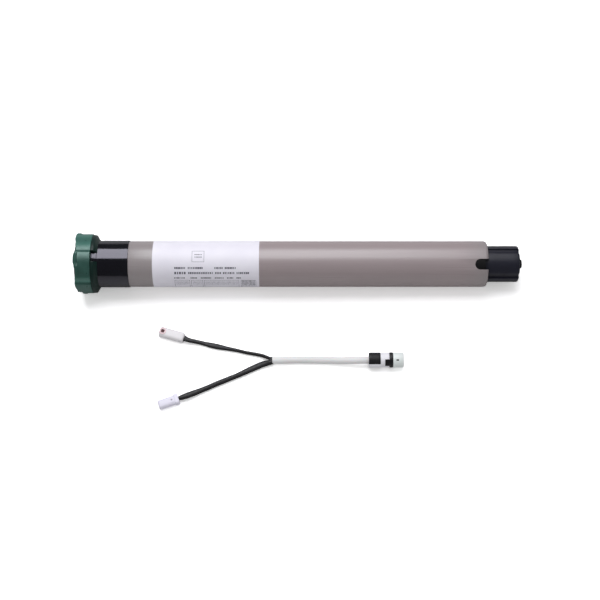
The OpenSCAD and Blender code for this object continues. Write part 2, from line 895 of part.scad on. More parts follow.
// Routes over the floor: along it, towards the motor, and height of the centreline
plug_at = [270, -95.2];
cable_route = [
    [270, -95.2, 7.4], [263, -95.2, 7.4], [256.7, -95, 6.6], [250.4, -94.7, 5.8], [244.1, -94.4, 4.9],
    [237.8, -94, 4.1], [231.5, -93.6, 3.6], [225.1, -93.4, 3.4], [218.8, -93.2, 3.4],
    [212.4, -93.1, 3.4], [206.1, -92.9, 3.4], [199.7, -92.8, 3.4], [193.4, -92.9, 3.4], [187, -93, 3.4],
    [176, -93, 3.4]
];
leg_a_route = [
    [176, -91, 3.4], [173.5, -91, 3.4], [167.8, -88.3, 2.6], [161.8, -86.4, 1.9], [155.6, -85.2, 1.9],
    [149.4, -83.9, 1.9], [143.3, -82.3, 1.9], [137.2, -80.9, 1.9], [131, -79.6, 1.9],
    [124.8, -78.2, 1.9], [118.6, -76.8, 1.9], [112.5, -75.3, 1.9], [106.4, -73.7, 2.2],
    [100.2, -72.5, 3], [94.1, -71.4, 4], [89.5, -69.4, 4]
];
leg_b_route = [
    [176, -95.4, 3.4], [173.5, -95.4, 3.4], [166.8, -96.8, 2.6], [160.4, -99.5, 2.4],
    [154.2, -102.4, 2.4], [148, -105.5, 2.4], [141.8, -108.5, 2.4], [135.4, -111.2, 2.4],
    [129.1, -113.9, 2.4], [122.7, -116.6, 2.4], [116.5, -119.5, 2.4], [110.2, -122.3, 2.4],
    [103.8, -125.1, 2.7], [97.6, -127.9, 3.6], [91.2, -130.5, 4], [86.5, -132.2, 4]
];

module lead_cable() {
    color("#e6e6e6") on_floor() swept(cable_route, cable_d / 2, 12);
}

module lead_leg_a() {
    color("#2a2a2c") on_floor() swept(leg_a_route, leg_a_d / 2, 8);
}

module lead_leg_b() {
    color("#2a2a2c") on_floor() swept(leg_b_route, leg_b_d / 2, 8);
}

// Plug: its pieces follow each other along the floor from the cable's end
grip_x0 = plug_at[0];
body_x0 = grip_x0 + grip_l;
latch_x0 = body_x0 + plug_body_l;
nose_x0 = latch_x0 + latch_l;
module at_plug() {
    on_floor() translate([0, plug_at[1], plug_d / 2]) children();
}

module plug_grip() {
    color("#29292b") at_plug() rod(grip_x0, grip_l, plug_d / 2 - 0.5);
}

// White body of the plug, with a strap that reaches back over the grip
module plug_body() {
    grip_r = plug_d / 2 - 0.5;
    color("#dcdce2") at_plug() {
        rod(body_x0, plug_body_l, plug_d / 2 - 0.3);
        rod(latch_x0, latch_l, plug_d / 2 - 2.4);
        about(157) latch_arm(grip_x0 + 0.4, body_x0 + 1, grip_r + seat, grip_r + 0.45, 9);
    }
}

// Curved bar about the X axis
module latch_arm(x0, x1, inner, outer, wrap) {
    turned([[inner, x0], [outer, x0], [outer, x1], [inner, x1]], wrap);
}

module plug_latch() {
    r = plug_d / 2;
    color("#242428") at_plug() {
        difference() {
            rod(latch_x0, latch_l, r);
            rod(latch_x0 - 1, latch_l + 2, r - 2.4 + seat);
        }
        difference() {
            about(130) latch_arm(latch_x0 - 4.2, latch_x0 + 1, r - 0.25, r + 0.75, 70);
            about(146) latch_arm(latch_x0 - 1.6, latch_x0, r - 2, r + 2, 60);
        }
    }
}

module plug_nose() {
    r = plug_d / 2;
    color("#cdd6d4") at_plug() difference() {
        turned([
            [0, nose_x0], [r - 0.1, nose_x0], [r - 0.1, nose_x0 + nose_l - 1.2],
            [r - 0.5, nose_x0 + nose_l - 0.4], [r - 1.3, nose_x0 + nose_l], [0, nose_x0 + nose_l]
        ]);
        for (i = [0 : contact_count - 1])
            about(45 + i * 360 / contact_count)
                translate([0, contact_pcd / 2, 0])
                    rod(nose_x0 + 2, nose_l, contact_d / 2 + 0.45, 24);
    }
}

module plug_contacts() {
    color("#c8a24a") at_plug()
        for (i = [0 : contact_count - 1])
            about(45 + i * 360 / contact_count)
                translate([0, contact_pcd / 2, 0]) difference() {
                    rod(nose_x0 + 2, nose_l - 3, contact_d / 2 + 0.4, 24);
                    rod(nose_x0 + 3.5, nose_l, contact_d / 2 + seat, 24);
                }
}

// Block with rounded upright edges, from x = 0 towards -X, standing on the floor
module pill(len, w, h, r) {
    translate([-len / 2, 0, 0]) linear_extrude(h) hull()
        for (x = [-1, 1], y = [-1, 1]) translate([x * (len / 2 - r), y * (w / 2 - r)]) circle(r, $fn = 32);
}

module connector_a() {
    at = leg_a_route[len(leg_a_route) - 1];
    color("#e4e2e4") on_floor() translate([at[0], at[1], 0]) rotate([0, 0, -24]) difference() {
        union() {
            pill(25, 10, 8, 1.5);
            translate([-20.5, 0, 7.5]) cylinder(h = 1.1, r = 3.3);
        }
        translate([-20.5 - 1.8, -1.8, 5]) cube([3.6, 3.6, 6]);
    }
}

module connector_b() {
    at = leg_b_route[len(leg_b_route) - 1];
    color("#dfdde9") on_floor() translate([at[0], at[1], 0]) rotate([0, 0, 20]) union() {
        pill(20, 9.5, 7.5, 2);
        translate([-1.5, 0, 0]) pill(3.5, 11, 8.2, 1);
    }
}

head_body();
crown();
crown_collar();
socket_sleeve();
socket_base();
socket_contacts();
motor_tube();
rating_label();
board_carrier();
control_board();
board_capacitors();
board_chips();
board_headers();
socket_leads();
motor_leads();
encoder_board();
end_bell();
brushes();
shaft_bushes();
motor_can();
motor_magnets();
motor_dampers();
gearbox_plate();
motor_screws();
ring_gear();
gearbox_cap();
output_bush();
rotor_shaft();
armature_core();
armature_windings();
commutator();
encoder_magnet();
sun_gear();
carrier_1();
carrier_1_pins();
carrier_2();
carrier_2_pins();
planet_1(0);  // planet_1a
planet_1(1);  // planet_1b
planet_1(2);  // planet_1c
planet_2(0);  // planet_2a
planet_2(1);  // planet_2b
planet_2(2);  // planet_2c
planet_3(0);  // planet_3a
planet_3(1);  // planet_3b
planet_3(2);  // planet_3c
output_carrier();
output_pins();
drive_hub();
hub_screw();
lead_cable();
lead_leg_a();
lead_leg_b();
plug_grip();
plug_body();
plug_latch();
plug_nose();
plug_contacts();
connector_a();
connector_b();
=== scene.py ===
"""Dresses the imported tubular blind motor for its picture.

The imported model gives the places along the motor, and the settings hold the sizes and colours that a user
would change. The script adds the finely shaped outside pieces, the supply lead, the finishes of all pieces,
the floor, the lamp and the camera. It is laid out as an add-on: each operator makes one piece or one group
of like pieces, and main() runs them in order.
"""

import json
import math

import bmesh
import bpy
from bpy.props import FloatProperty, FloatVectorProperty, IntProperty, PointerProperty
from bpy.types import NodeSocket, Operator, Panel, PropertyGroup
from mathutils import Matrix, Vector


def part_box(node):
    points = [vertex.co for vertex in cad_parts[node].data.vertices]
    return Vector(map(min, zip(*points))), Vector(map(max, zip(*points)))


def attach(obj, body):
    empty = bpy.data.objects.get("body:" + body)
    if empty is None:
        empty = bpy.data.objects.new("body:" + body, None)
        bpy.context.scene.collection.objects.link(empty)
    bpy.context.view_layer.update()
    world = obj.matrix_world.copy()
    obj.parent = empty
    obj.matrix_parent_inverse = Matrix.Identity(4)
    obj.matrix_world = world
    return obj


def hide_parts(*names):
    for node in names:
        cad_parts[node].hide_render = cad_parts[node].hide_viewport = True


bl_info = {
    "name": "Tubular blind motor",
    "version": (1, 0, 0),
    "blender": (4, 5, 0),
    "location": "3D View > Sidebar > Blind motor",
    "description": "Outside pieces, supply lead, finishes and stage of a tubular blind motor",
    "category": "Object",
}

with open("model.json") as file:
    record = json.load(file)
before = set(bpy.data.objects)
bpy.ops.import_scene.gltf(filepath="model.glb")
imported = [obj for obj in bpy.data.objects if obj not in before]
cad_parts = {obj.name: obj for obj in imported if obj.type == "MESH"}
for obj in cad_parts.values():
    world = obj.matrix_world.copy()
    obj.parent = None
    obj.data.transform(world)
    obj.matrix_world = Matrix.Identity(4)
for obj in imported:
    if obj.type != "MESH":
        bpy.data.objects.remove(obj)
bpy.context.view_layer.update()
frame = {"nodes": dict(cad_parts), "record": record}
NODES = frame["nodes"]
HOUSING = "motor_housing"


# Places and sizes


def mm(metres):
    return metres * 1000.0


def span(node):
    """Lowest and highest place of a CAD node along the motor, in mm."""
    low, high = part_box(node)
    return mm(low.x), mm(high.x)


def spot(x, radius, angle):
    """Point in metres from a place along the motor and a radius in mm, and an angle from +Y towards +Z."""
    a = math.radians(angle)
    return Vector((x, radius * math.cos(a), radius * math.sin(a))) / 1000


def moved(x=0.0, y=0.0, z=0.0):
    """Matrix that moves a piece by a distance in mm."""
    return Matrix.Translation(Vector((x, y, z)) / 1000)


def shade(red, green, blue):
    """Linear colour from the three screen values of 0 to 255."""
    values = (red / 255, green / 255, blue / 255)
    return tuple(c / 12.92 if c <= 0.04045 else ((c + 0.055) / 1.055) ** 2.4 for c in values)


def scaled(colour, share, plus=0.0):
    """A colour made lighter or darker by a share."""
    return tuple(min(1, c * share + plus) for c in colour)


def ease(low, high, value):
    """0 up to low and 1 from high on, with a smooth step between them."""
    t = min(1.0, max(0.0, (value - low) / (high - low)))
    return t * t * (3 - 2 * t)


def arc(cx, cy, radius, start, end, steps):
    """Points of an arc in the plane of an outline."""
    angles = (math.radians(start + (end - start) * k / steps) for k in range(steps + 1))
    return [(cx + radius * math.cos(a), cy + radius * math.sin(a)) for a in angles]


TUBE_X0, TUBE_X1 = span("motor_tube")
CROWN_X1 = span("crown")[1]
COLLAR_X1 = CROWN_X1 + 6.3

# The motor lies on its crown's pads and on the tube's rim, so the floor is tilted to it
PAD_RADIUS, TUBE_RADIUS, RIM = 29.45, 22.5, 3.0
FLOOR_X, FLOOR_Z = CROWN_X1, -PAD_RADIUS
FLOOR_TILT = math.atan((PAD_RADIUS - TUBE_RADIUS) / (TUBE_X1 - RIM - FLOOR_X))
FLOOR_MATRIX = moved(FLOOR_X, 0, FLOOR_Z) @ Matrix.Rotation(-FLOOR_TILT, 4, "Y")


def on_floor(x, y, height):
    """Point in metres from its place on the tilted floor, in mm."""
    c, s = math.cos(FLOOR_TILT), math.sin(FLOOR_TILT)
    return Vector((FLOOR_X + x * c - height * s, y, FLOOR_Z + x * s + height * c)) / 1000


# Routes of the lead's centrelines on the floor: along the motor, towards it, and height, in mm
CABLE_ROUTE = [
    (270, -95.2, 7.4), (263, -95.2, 7.4), (256.7, -95, 6.6), (250.4, -94.7, 5.8), (244.1, -94.4, 4.9),
    (237.8, -94, 4.1), (231.5, -93.6, 3.6), (225.1, -93.4, 3.4), (218.8, -93.2, 3.4), (212.4, -93.1, 3.4),
    (206.1, -92.9, 3.4), (199.7, -92.8, 3.4), (193.4, -92.9, 3.4), (187, -93, 3.4), (176, -93, 3.4),
]
LEG_A_ROUTE = [
    (176, -91, 3.4), (173.5, -91, 3.4), (167.8, -88.3, 2.6), (161.8, -86.4, 1.9), (155.6, -85.2, 1.9),
    (149.4, -83.9, 1.9), (143.3, -82.3, 1.9), (137.2, -80.9, 1.9), (131, -79.6, 1.9), (124.8, -78.2, 1.9),
    (118.6, -76.8, 1.9), (112.5, -75.3, 1.9), (106.4, -73.7, 2.2), (100.2, -72.5, 3), (94.1, -71.4, 4),
    (89.5, -69.4, 4),
]
LEG_B_ROUTE = [
    (176, -95.4, 3.4), (173.5, -95.4, 3.4), (166.8, -96.8, 2.6), (160.4, -99.5, 2.4), (154.2, -102.4, 2.4),
    (148, -105.5, 2.4), (141.8, -108.5, 2.4), (135.4, -111.2, 2.4), (129.1, -113.9, 2.4),
    (122.7, -116.6, 2.4), (116.5, -119.5, 2.4), (110.2, -122.3, 2.4), (103.8, -125.1, 2.7),
    (97.6, -127.9, 3.6), (91.2, -130.5, 4), (86.5, -132.2, 4),
]
# Turns of the connectors at the legs' ends, in degrees
LEG_A_TURN, LEG_B_TURN = -17, 20


# Settings that a user would change


class TubeSettings(PropertyGroup):
    diameter: FloatProperty(name="Diameter", description="Outer diameter of the tube",
                            default=0.045, unit="LENGTH")
    wall: FloatProperty(name="Wall", description="Wall of the tube", default=0.0012, unit="LENGTH")
    rim: FloatProperty(name="Rim", description="Radius of the rolled rim", default=0.003, unit="LENGTH")
    slot_width: FloatProperty(name="Slot width", description="Width of the torque slot", default=0.0104,
                              unit="LENGTH")
    slot_length: FloatProperty(name="Slot length", description="Length of the torque slot", default=0.0134,
                               unit="LENGTH")
    slot_angle: FloatProperty(name="Slot angle", description="Place of the torque slot about the axis",
                              default=math.radians(117), subtype="ANGLE")
    colour: FloatVectorProperty(name="Colour", description="Anodised finish of the tube", subtype="COLOR",
                                size=3, min=0, max=1, default=shade(158, 145, 147))


class HeadSettings(PropertyGroup):
    diameter: FloatProperty(name="Diameter", description="Outer diameter of the head", default=0.0462,
                            unit="LENGTH")
    flange: FloatProperty(name="Flange", description="Diameter of the front flange",
                          default=0.0484, unit="LENGTH")
    collar: FloatProperty(name="Collar", description="Diameter of the collar", default=0.0572, unit="LENGTH")
    tongue_width: FloatProperty(name="Tongue width", description="Width of the collar's latch tongue",
                                default=0.010, unit="LENGTH")
    tongue_angle: FloatProperty(name="Tongue angle", description="Place of the latch tongue about the axis",
                                default=math.radians(100), subtype="ANGLE")
    screw_circle: FloatProperty(name="Screw circle", description="Pitch circle of the bracket screws",
                                default=0.034, unit="LENGTH")
    screw_hole: FloatProperty(name="Screw hole", description="Diameter of a bracket screw hole",
                              default=0.005, unit="LENGTH")
    screw_count: IntProperty(name="Screws", description="Number of bracket screw holes",
                             default=4, min=3, max=4)
    colour: FloatVectorProperty(name="Colour", description="Gloss black of the head", subtype="COLOR",
                                size=3, min=0, max=1, default=shade(16, 16, 22))


class CrownSettings(PropertyGroup):
    between: FloatProperty(name="Between pads", description="Diameter between the pads", default=0.0552,
                           unit="LENGTH")
    over_pads: FloatProperty(name="Over pads", description="Diameter over the pads",
                             default=0.0589, unit="LENGTH")
    over_ears: FloatProperty(name="Over ears", description="Diameter over the stop ears", default=0.061,
                             unit="LENGTH")
    ear_length: FloatProperty(name="Ear length", description="Length of an ear along the axis",
                              default=0.0054, unit="LENGTH")
    colour: FloatVectorProperty(name="Colour", description="Moulded green of the crown", subtype="COLOR",
                                size=3, min=0, max=1, default=shade(40, 77, 69))


class HubSettings(PropertyGroup):
    diameter: FloatProperty(name="Diameter", description="Diameter over the hub's lobes", default=0.0354,
                            unit="LENGTH")
    groove_width: FloatProperty(name="Groove width", description="Width of a groove", default=0.0062,
                                unit="LENGTH")
    groove_depth: FloatProperty(name="Groove depth", description="Depth of a groove", default=0.0022,
                                unit="LENGTH")
    groove_angle: FloatProperty(name="Groove angle", description="Place of the first lobe about the axis",
                                default=math.radians(25), subtype="ANGLE")
    edge: FloatProperty(name="Edge", description="Radius of the hub's front edge",
                        default=0.0018, unit="LENGTH")
    screw_head: FloatProperty(name="Screw head", description="Diameter of the hub screw's head",
                              default=0.0089, unit="LENGTH")
    colour: FloatVectorProperty(name="Colour", description="Moulded black of the hub", subtype="COLOR",
                                size=3, min=0, max=1, default=shade(33, 34, 46))


class LeadSettings(PropertyGroup):
    cable: FloatProperty(name="Cable", description="Diameter of the round cable",
                         default=0.0068, unit="LENGTH")
    leg_a: FloatProperty(name="First leg", description="Diameter of the first leg",
                         default=0.0038, unit="LENGTH")
    leg_b: FloatProperty(name="Second leg", description="Diameter of the second leg", default=0.0048,
                         unit="LENGTH")
    plug: FloatProperty(name="Plug", description="Diameter of the plug", default=0.0148, unit="LENGTH")
    rib_count: IntProperty(name="Grip ribs", description="Number of fine ribs on the plug's grip", default=6,
                           min=2, max=12)
    cable_colour: FloatVectorProperty(name="Cable colour", description="White sheath of the cable",
                                      subtype="COLOR", size=3, min=0, max=1, default=shade(232, 232, 232))


class StageSettings(PropertyGroup):
    lens: FloatProperty(name="Lens", description="Focal length in mm on a 36 mm sensor", default=78.0, min=20)
    elevation: FloatProperty(name="Elevation", description="Height of the camera as an angle",
                             default=math.radians(65), subtype="ANGLE")
    lamp_power: FloatProperty(name="Lamp power", description="Power of the large lamp", default=12.2, min=0,
                              subtype="POWER")
    lamp_angle: FloatProperty(name="Lamp angle", description="Place of the lamp about the motor",
                              default=math.radians(64), subtype="ANGLE")
    lamp_length: FloatProperty(name="Lamp length", description="Lamp's size along the motor", default=0.95,
                               unit="LENGTH")
    lamp_width: FloatProperty(name="Lamp width", description="Lamp's size across the motor", default=1.15,
                              unit="LENGTH")
    ambient: FloatProperty(name="Ambient", description="Strength of the room's light from behind",
                           default=0.36, min=0)
    fill: FloatProperty(name="Fill", description="Strength of the room's light from the viewer's side",
                        default=0.5, min=0)
    mirrored: FloatProperty(name="Mirrored room", description="Strength of the room in reflections",
                            default=0.05, min=0)
    floor_tone: FloatProperty(name="Floor tone", description="Tone of the floor in the light it gives back",
                              default=0.72, min=0, max=1)
    floor_seen: FloatProperty(name="Floor as seen", description="Tone of the floor as the camera sees it",
                              default=1.5, min=0, max=3)
    floor_mirrored: FloatProperty(name="Floor mirrored", description="Tone of the floor in reflections",
                                  default=0.4, min=0, max=1)
    floor_glow: FloatProperty(name="Floor glow", description="Own light of the floor as it is seen",
                              default=0.25, min=0)


class MotorSettings(PropertyGroup):
    tube: PointerProperty(type=TubeSettings)
    head: PointerProperty(type=HeadSettings)
    crown: PointerProperty(type=CrownSettings)
    hub: PointerProperty(type=HubSettings)
    lead: PointerProperty(type=LeadSettings)
    stage: PointerProperty(type=StageSettings)


# Mesh work


def placed(name, data):
    """New object in the scene."""
    item = bpy.data.objects.new(name, data)
    bpy.context.scene.collection.objects.link(item)
    return item


def smooth(mesh, sharp=35):
    """Shades a mesh smooth, but for its edges past an angle in degrees."""
    mesh.shade_smooth()
    mesh.set_sharp_from_angle(angle=math.radians(sharp))


def new_piece(name, vertices, faces, sharp=35):
    """Closed mesh object at the origin, with doubled points merged and its faces turned outwards."""
    mesh = bpy.data.meshes.new(name)
    mesh.from_pydata([tuple(v) for v in vertices], [], faces)
    work = bmesh.new()
    work.from_mesh(mesh)
    bmesh.ops.remove_doubles(work, verts=work.verts, dist=2e-7)
    bmesh.ops.dissolve_degenerate(work, edges=work.edges, dist=1e-7)
    bmesh.ops.recalc_face_normals(work, faces=work.faces)
    work.to_mesh(mesh)
    work.free()
    smooth(mesh, sharp)
    return placed(name, mesh)


def skin(name, rings, closed=False, sharp=35):
    """Skin over rings of points. The ends are capped, or the last ring meets the first."""
    count, n = len(rings), len(rings[0])
    faces = []
    for i in range(count if closed else count - 1):
        a, b = i * n, (i + 1) % count * n
        faces += [(a + k, a + (k + 1) % n, b + (k + 1) % n, b + k) for k in range(n)]
    if not closed:
        faces += [tuple(range(n - 1, -1, -1)), tuple(range((count - 1) * n, count * n))]
    return new_piece(name, [point for ring in rings for point in ring], faces, sharp)


def turned(name, outline, steps=192, start=0.0, wrap=360.0, sharp=35):
    """Closed outline of (x, radius) points in mm, turned about the motor's axis."""
    whole = wrap >= 360
    angles = [start + wrap * i / steps for i in range(steps if whole else steps + 1)]
    return skin(name, [[spot(x, r, a) for x, r in outline] for a in angles], whole, sharp)


def prism(name, outline, x0, x1):
    """Outline of (y, z) points in mm, drawn out along the motor."""
    return skin(name, [[Vector((x, y, z)) / 1000 for y, z in outline] for x in (x0, x1)])


def slab(name, outline, z0, z1):
    """Outline of (x, y) points in mm, drawn out along z."""
    return skin(name, [[Vector((x, y, z)) / 1000 for x, y in outline] for z in (z0, z1)])


def rounded_outline(points, radius, steps=4):
    """Outline in a plane with its corners rounded."""
    result, n = [], len(points)
    for k in range(n):
        p, a, b = (Vector(points[i % n]) for i in (k, k - 1, k + 1))
        r = min(radius, (a - p).length * 0.45, (b - p).length * 0.45)
        start, end = p + (a - p).normalized() * r, p + (b - p).normalized() * r
        for t in (i / steps for i in range(steps + 1)):
            result.append(tuple((1 - t) ** 2 * start + 2 * t * (1 - t) * p + t * t * end))
    return result


def baked(piece):
    """Replaces a piece's modifiers by their result."""
    result = bpy.data.meshes.new_from_object(piece.evaluated_get(bpy.context.evaluated_depsgraph_get()))
    piece.modifiers.clear()
    piece.data = result
    return piece


def cut(piece, tools, operation="DIFFERENCE", sharp=35):
    """Takes the tools out of the piece, or joins them to it, and removes them."""
    for tool in tools:
        step = piece.modifiers.new("cut", "BOOLEAN")
        step.operation = operation
        step.solver = "EXACT"
        step.object = tool
        baked(piece)
        bpy.data.objects.remove(tool)
    smooth(piece.data, sharp)
    return piece


def rounded(piece, width, steps=3, limit=40, sharp=35):
    """Rounds a piece's sharp edges, by a width in metres."""
    bevel = piece.modifiers.new("edges", "BEVEL")
    bevel.width = width
    bevel.segments = steps
    bevel.limit_method = "ANGLE"
    bevel.angle_limit = math.radians(limit)
    baked(piece)
    smooth(piece.data, sharp)
    return piece


def joined(name, parts):
    """One object from several, each keeping its own closed shell."""
    work = bmesh.new()
    for part in parts:
        part.data.transform(part.matrix_world)
        work.from_mesh(part.data)
        bpy.data.objects.remove(part)
    mesh = bpy.data.meshes.new(name)
    work.to_mesh(mesh)
    work.free()
    smooth(mesh)
    return placed(name, mesh)


def settle(piece, body, slot, finish, *nodes):
    """Gives a piece its finish, its body and the CAD nodes that it stands for."""
    piece.data.materials.clear()
    piece.data.materials.append(finish)
    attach(piece, body)
    if nodes:
        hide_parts(*nodes)


# Node trees


def new_node(tree, kind, values=None, **traits):
    """New node with its traits set, and its inputs set to values or linked to sockets."""
    node = tree.nodes.new(kind)
    for key, value in traits.items():
        setattr(node, key, value)
    for key, value in (values or {}).items():
        if isinstance(value, NodeSocket):
            tree.links.new(value, node.inputs[key])
        else:
            node.inputs[key].default_value = value
    return node


def node_group(name, inputs):
    """Geometry Nodes tree with named inputs, each with its kind and its default, and the inputs' sockets."""
    tree = bpy.data.node_groups.new(name, "GeometryNodeTree")
    tree.interface.new_socket("Geometry", in_out="OUTPUT", socket_type="NodeSocketGeometry")
    for key, (kind, value) in inputs.items():
        socket = tree.interface.new_socket(key, in_out="INPUT", socket_type="NodeSocket" + kind)
        if value is not None:
            socket.default_value = value
    return tree, new_node(tree, "NodeGroupInput").outputs


def end_group(tree, instances, finish):
    """Ends a tree: the instances are made real and get their finish."""
    real = new_node(tree, "GeometryNodeRealizeInstances", {0: instances})
    done = new_node(tree, "GeometryNodeSetMaterial", {"Geometry": real.outputs[0], "Material": finish})
    new_node(tree, "NodeGroupOutput", {0: done.outputs[0]})
    return tree


def grown(name, tree, values):
    """Plain mesh that a node tree makes with its named inputs set."""
    piece = placed(name, bpy.data.meshes.new(name))
    step = piece.modifiers.new(tree.name, "NODES")
    step.node_group = tree
    for item in tree.interface.items_tree:
        if item.in_out == "INPUT" and item.name in values:
            step[item.identifier] = values[item.name]
    return baked(piece)


# Finishes


# Places of the colour sockets of a mix node, and the stretch that most of a noise lies in
MIX_LOW, MIX_HIGH, MIX_RESULT = 6, 7, 2
NOISE_LOW, NOISE_HIGH = 0.3, 0.7


class Finish:
    """A material whose colour, roughness and relief vary over the piece's own coordinates."""

    def __init__(self, name, colour, roughness, metal=0.0, specular=0.5, **more):
        self.material = bpy.data.materials.new(name)
        self.material.use_nodes = True
        self.tree = self.material.node_tree
        self.shader = self.tree.nodes["Principled BSDF"]
        self.colour = tuple(colour)[:3]
        self.roughness = roughness
        values = {"Base Color": self.colour + (1.0,), "Roughness": roughness, "Metallic": metal,
                  "Specular IOR Level": specular, **more}
        for key, value in values.items():
            self.shader.inputs[key].default_value = value
        self.place = self.node("ShaderNodeTexCoord").outputs["Object"]
        self.relief = {}

    def node(self, kind, values=None, **traits):
        return new_node(self.tree, kind, values, **traits)

    def feed(self, key, socket):
        self.tree.links.new(socket, self.shader.inputs[key])

    def noise(self, grain, detail=3.0):
        """Noise with so many specks a metre, or so many along each axis."""
        grain = grain if isinstance(grain, tuple) else (grain, grain, grain)
        at = self.node("ShaderNodeMapping", {"Scale": grain, "Vector": self.place}).outputs["Vector"]
        values = {"Scale": 1.0, "Detail": detail, "Roughness": 0.55, "Vector": at}
        return self.node("ShaderNodeTexNoise", values).outputs["Fac"]

    def mix(self, factor, low, high):
        """Colour that goes from low to high with the factor. Each is a colour or a socket."""
        low, high = (c if isinstance(c, NodeSocket) else tuple(c)[:3] + (1.0,) for c in (low, high))
        values = {"Factor": factor, MIX_LOW: low, MIX_HIGH: high}
        return self.node("ShaderNodeMix", values, data_type="RGBA").outputs[MIX_RESULT]

    def spread(self, factor, low, high, to_low=0.0, to_high=1.0):
        """The factor's stretch from low to high, spread to another stretch."""
        values = {"Value": factor, "From Min": low, "From Max": high, "To Min": to_low, "To Max": to_high}
        return self.node("ShaderNodeMapRange", values).outputs["Result"]

    def patches(self, grain, detail=3.0, low=NOISE_LOW, high=NOISE_HIGH):
        """Factor of a noise, spread from 0 to 1."""
        return self.spread(self.noise(grain, detail), low, high)

    def axis(self, name):
        """The piece's own coordinate along an axis."""
        return self.node("ShaderNodeSeparateXYZ", {0: self.place}).outputs[name]

    def round_mask(self, stops):
        """Factor that depends on the angle about the motor's axis."""
        turn = self.node("ShaderNodeMath", {0: self.axis("Z"), 1: self.axis("Y")}, operation="ARCTAN2")
        ramp = self.node("ShaderNodeValToRGB", {"Fac": self.spread(turn.outputs[0], -math.pi, math.pi)})
        marks = ramp.color_ramp.elements
        for k, (place, level) in enumerate(sorted(((a + 180) % 360 / 360, v) for a, v in stops)):
            mark = marks[k] if k < 2 else marks.new(place)
            mark.position = place
            mark.color = (level, level, level, 1)
        return ramp.outputs["Color"]

    def mottle(self, grain, amount, detail=3.0):
        """Lighter and darker patches of the colour."""
        ends = scaled(self.colour, 1 - amount), scaled(self.colour, 1 + amount)
        self.paint(self.mix(self.patches(grain, detail), *ends))

    def paint(self, socket):
        self.feed("Base Color", socket)

    def uneven_gloss(self, grain, amount):
        """Patches that are glossier or duller by an amount."""
        ends = max(0.02, self.roughness - amount), min(1.0, self.roughness + amount)
        self.feed("Roughness", self.spread(self.noise(grain, 2.0), NOISE_LOW, NOISE_HIGH, *ends))

    def bumps(self, height, depth, strength=0.5):
        """Relief from a height socket, so many metres deep. Each further one lies on the last."""
        values = {"Distance": depth, "Strength": strength, "Height": height, **self.relief}
        self.relief = {"Normal": self.node("ShaderNodeBump", values).outputs["Normal"]}
        self.feed("Normal", self.relief["Normal"])

    def worked(self, gloss, *reliefs):
        """Uneven gloss and reliefs of noise: grain, detail, depth and strength. Gives the material."""
        self.uneven_gloss(*gloss)
        for grain, detail, depth, strength in reliefs:
            self.bumps(self.noise(grain, detail), depth, strength)
        return self.material


def moulded(name, colour, roughness=0.45, specular=0.45, mottle=0.08, depth=2e-5, spark=1800):
    """Moulded plastic: faint flow patches, a fine spark-eroded grain and uneven gloss."""
    f = Finish(name, colour, roughness, specular=specular)
    f.mottle((70, 45, 45), mottle)
    return f.worked((260, 0.06), (spark, 2.0, depth, 0.6))


def machined(name, colour, roughness=0.3, metal=1.0, lines=(5200, 260, 260), mottle=0.12):
    """Turned or ground metal: fine tool lines, dull patches and slight staining."""
    f = Finish(name, colour, roughness, metal=metal)
    f.mottle(110, mottle, 4.0)
    return f.worked((420, 0.1), (lines, 3.0, 1.2e-5, 0.6))


def rubbery(name, colour, roughness=0.62, mottle=0.14, depth=3e-5):
    """Rubber: dusty patches and a soft fine relief."""
    f = Finish(name, colour, roughness, specular=0.35)
    f.mottle((160, 120, 120), mottle, 4.0)
    return f.worked((500, 0.09), (900, 4.0, depth, 0.6))


# Where the tube's ends turn greyer, from none to all, in metres along the motor, and how much greyer they are
HEAD_GREY, DRIVE_GREY, GREY_SHARE, GREY_LIFT = (0.088, 0.074), (0.378, 0.4), 0.38, 1.06


def anodised_tube(colour):
    """Anodised aluminium with drawing lines along the tube, a faint cloudiness and greyer ends."""
    tint = {"Specular Tint": (0.92, 1.0, 0.965, 1)}
    f = Finish("tube_anodised", colour, 0.34, 0.05, 0.85, **tint)
    cloud = f.mix(f.patches((16, 60, 60), 3.0, 0.25, 0.75), scaled(colour, 0.955), scaled(colour, 1.035))
    body = f.mix(f.patches((5, 2600, 2600), 3.0, 0.2, 0.8), cloud, scaled(colour, 1.12))
    grey = tuple((1 - GREY_SHARE) * c + GREY_SHARE * colour[1] * GREY_LIFT for c in colour)
    head_end, drive_end = f.spread(f.axis("X"), *HEAD_GREY), f.spread(f.axis("X"), *DRIVE_GREY)
    ends = f.node("ShaderNodeMath", {0: head_end, 1: drive_end}, operation="MAXIMUM")
    f.paint(f.mix(ends.outputs[0], body, grey))
    return f.worked(((9, 1500, 1500), 0.07), ((6, 3200, 3200), 2.0, 6e-6, 0.5), (35, 2.0, 2e-5, 0.3))


def gloss_black(colour):
    """Polished black moulding with faint haze and hair scratches along it."""
    tint = {"Specular Tint": (0.9, 0.885, 1.0, 1)}
    f = Finish("head_gloss", colour, 0.12, specular=1.0, IOR=1.52, **tint)
    f.mottle((90, 60, 60), 0.15)
    return f.worked(((40, 700, 700), 0.04), ((14, 2400, 2400), 2.0, 2e-6, 0.4), (110, 2.0, 4e-6, 0.3))


# Where the crown's ramps get a painted highlight and a painted floor reflection: angle in degrees and how
# much lighter
PAINTED_HIGHLIGHTS = (
    (20, 0.1), (34, 0.5), (44, 0.75), (52, 0.6), (62, 0.4), (68, 0.7), (74, 0.7), (80, 0.35), (86, 0.0),
    (140, 0.0), (147, 0.6), (153, 1.0), (156, 0.8), (158, 0.0), (230, 0.0), (245, 0.6), (255, 0.0),
    (314, 0.0), (324, 0.6), (332, 0.0),
)


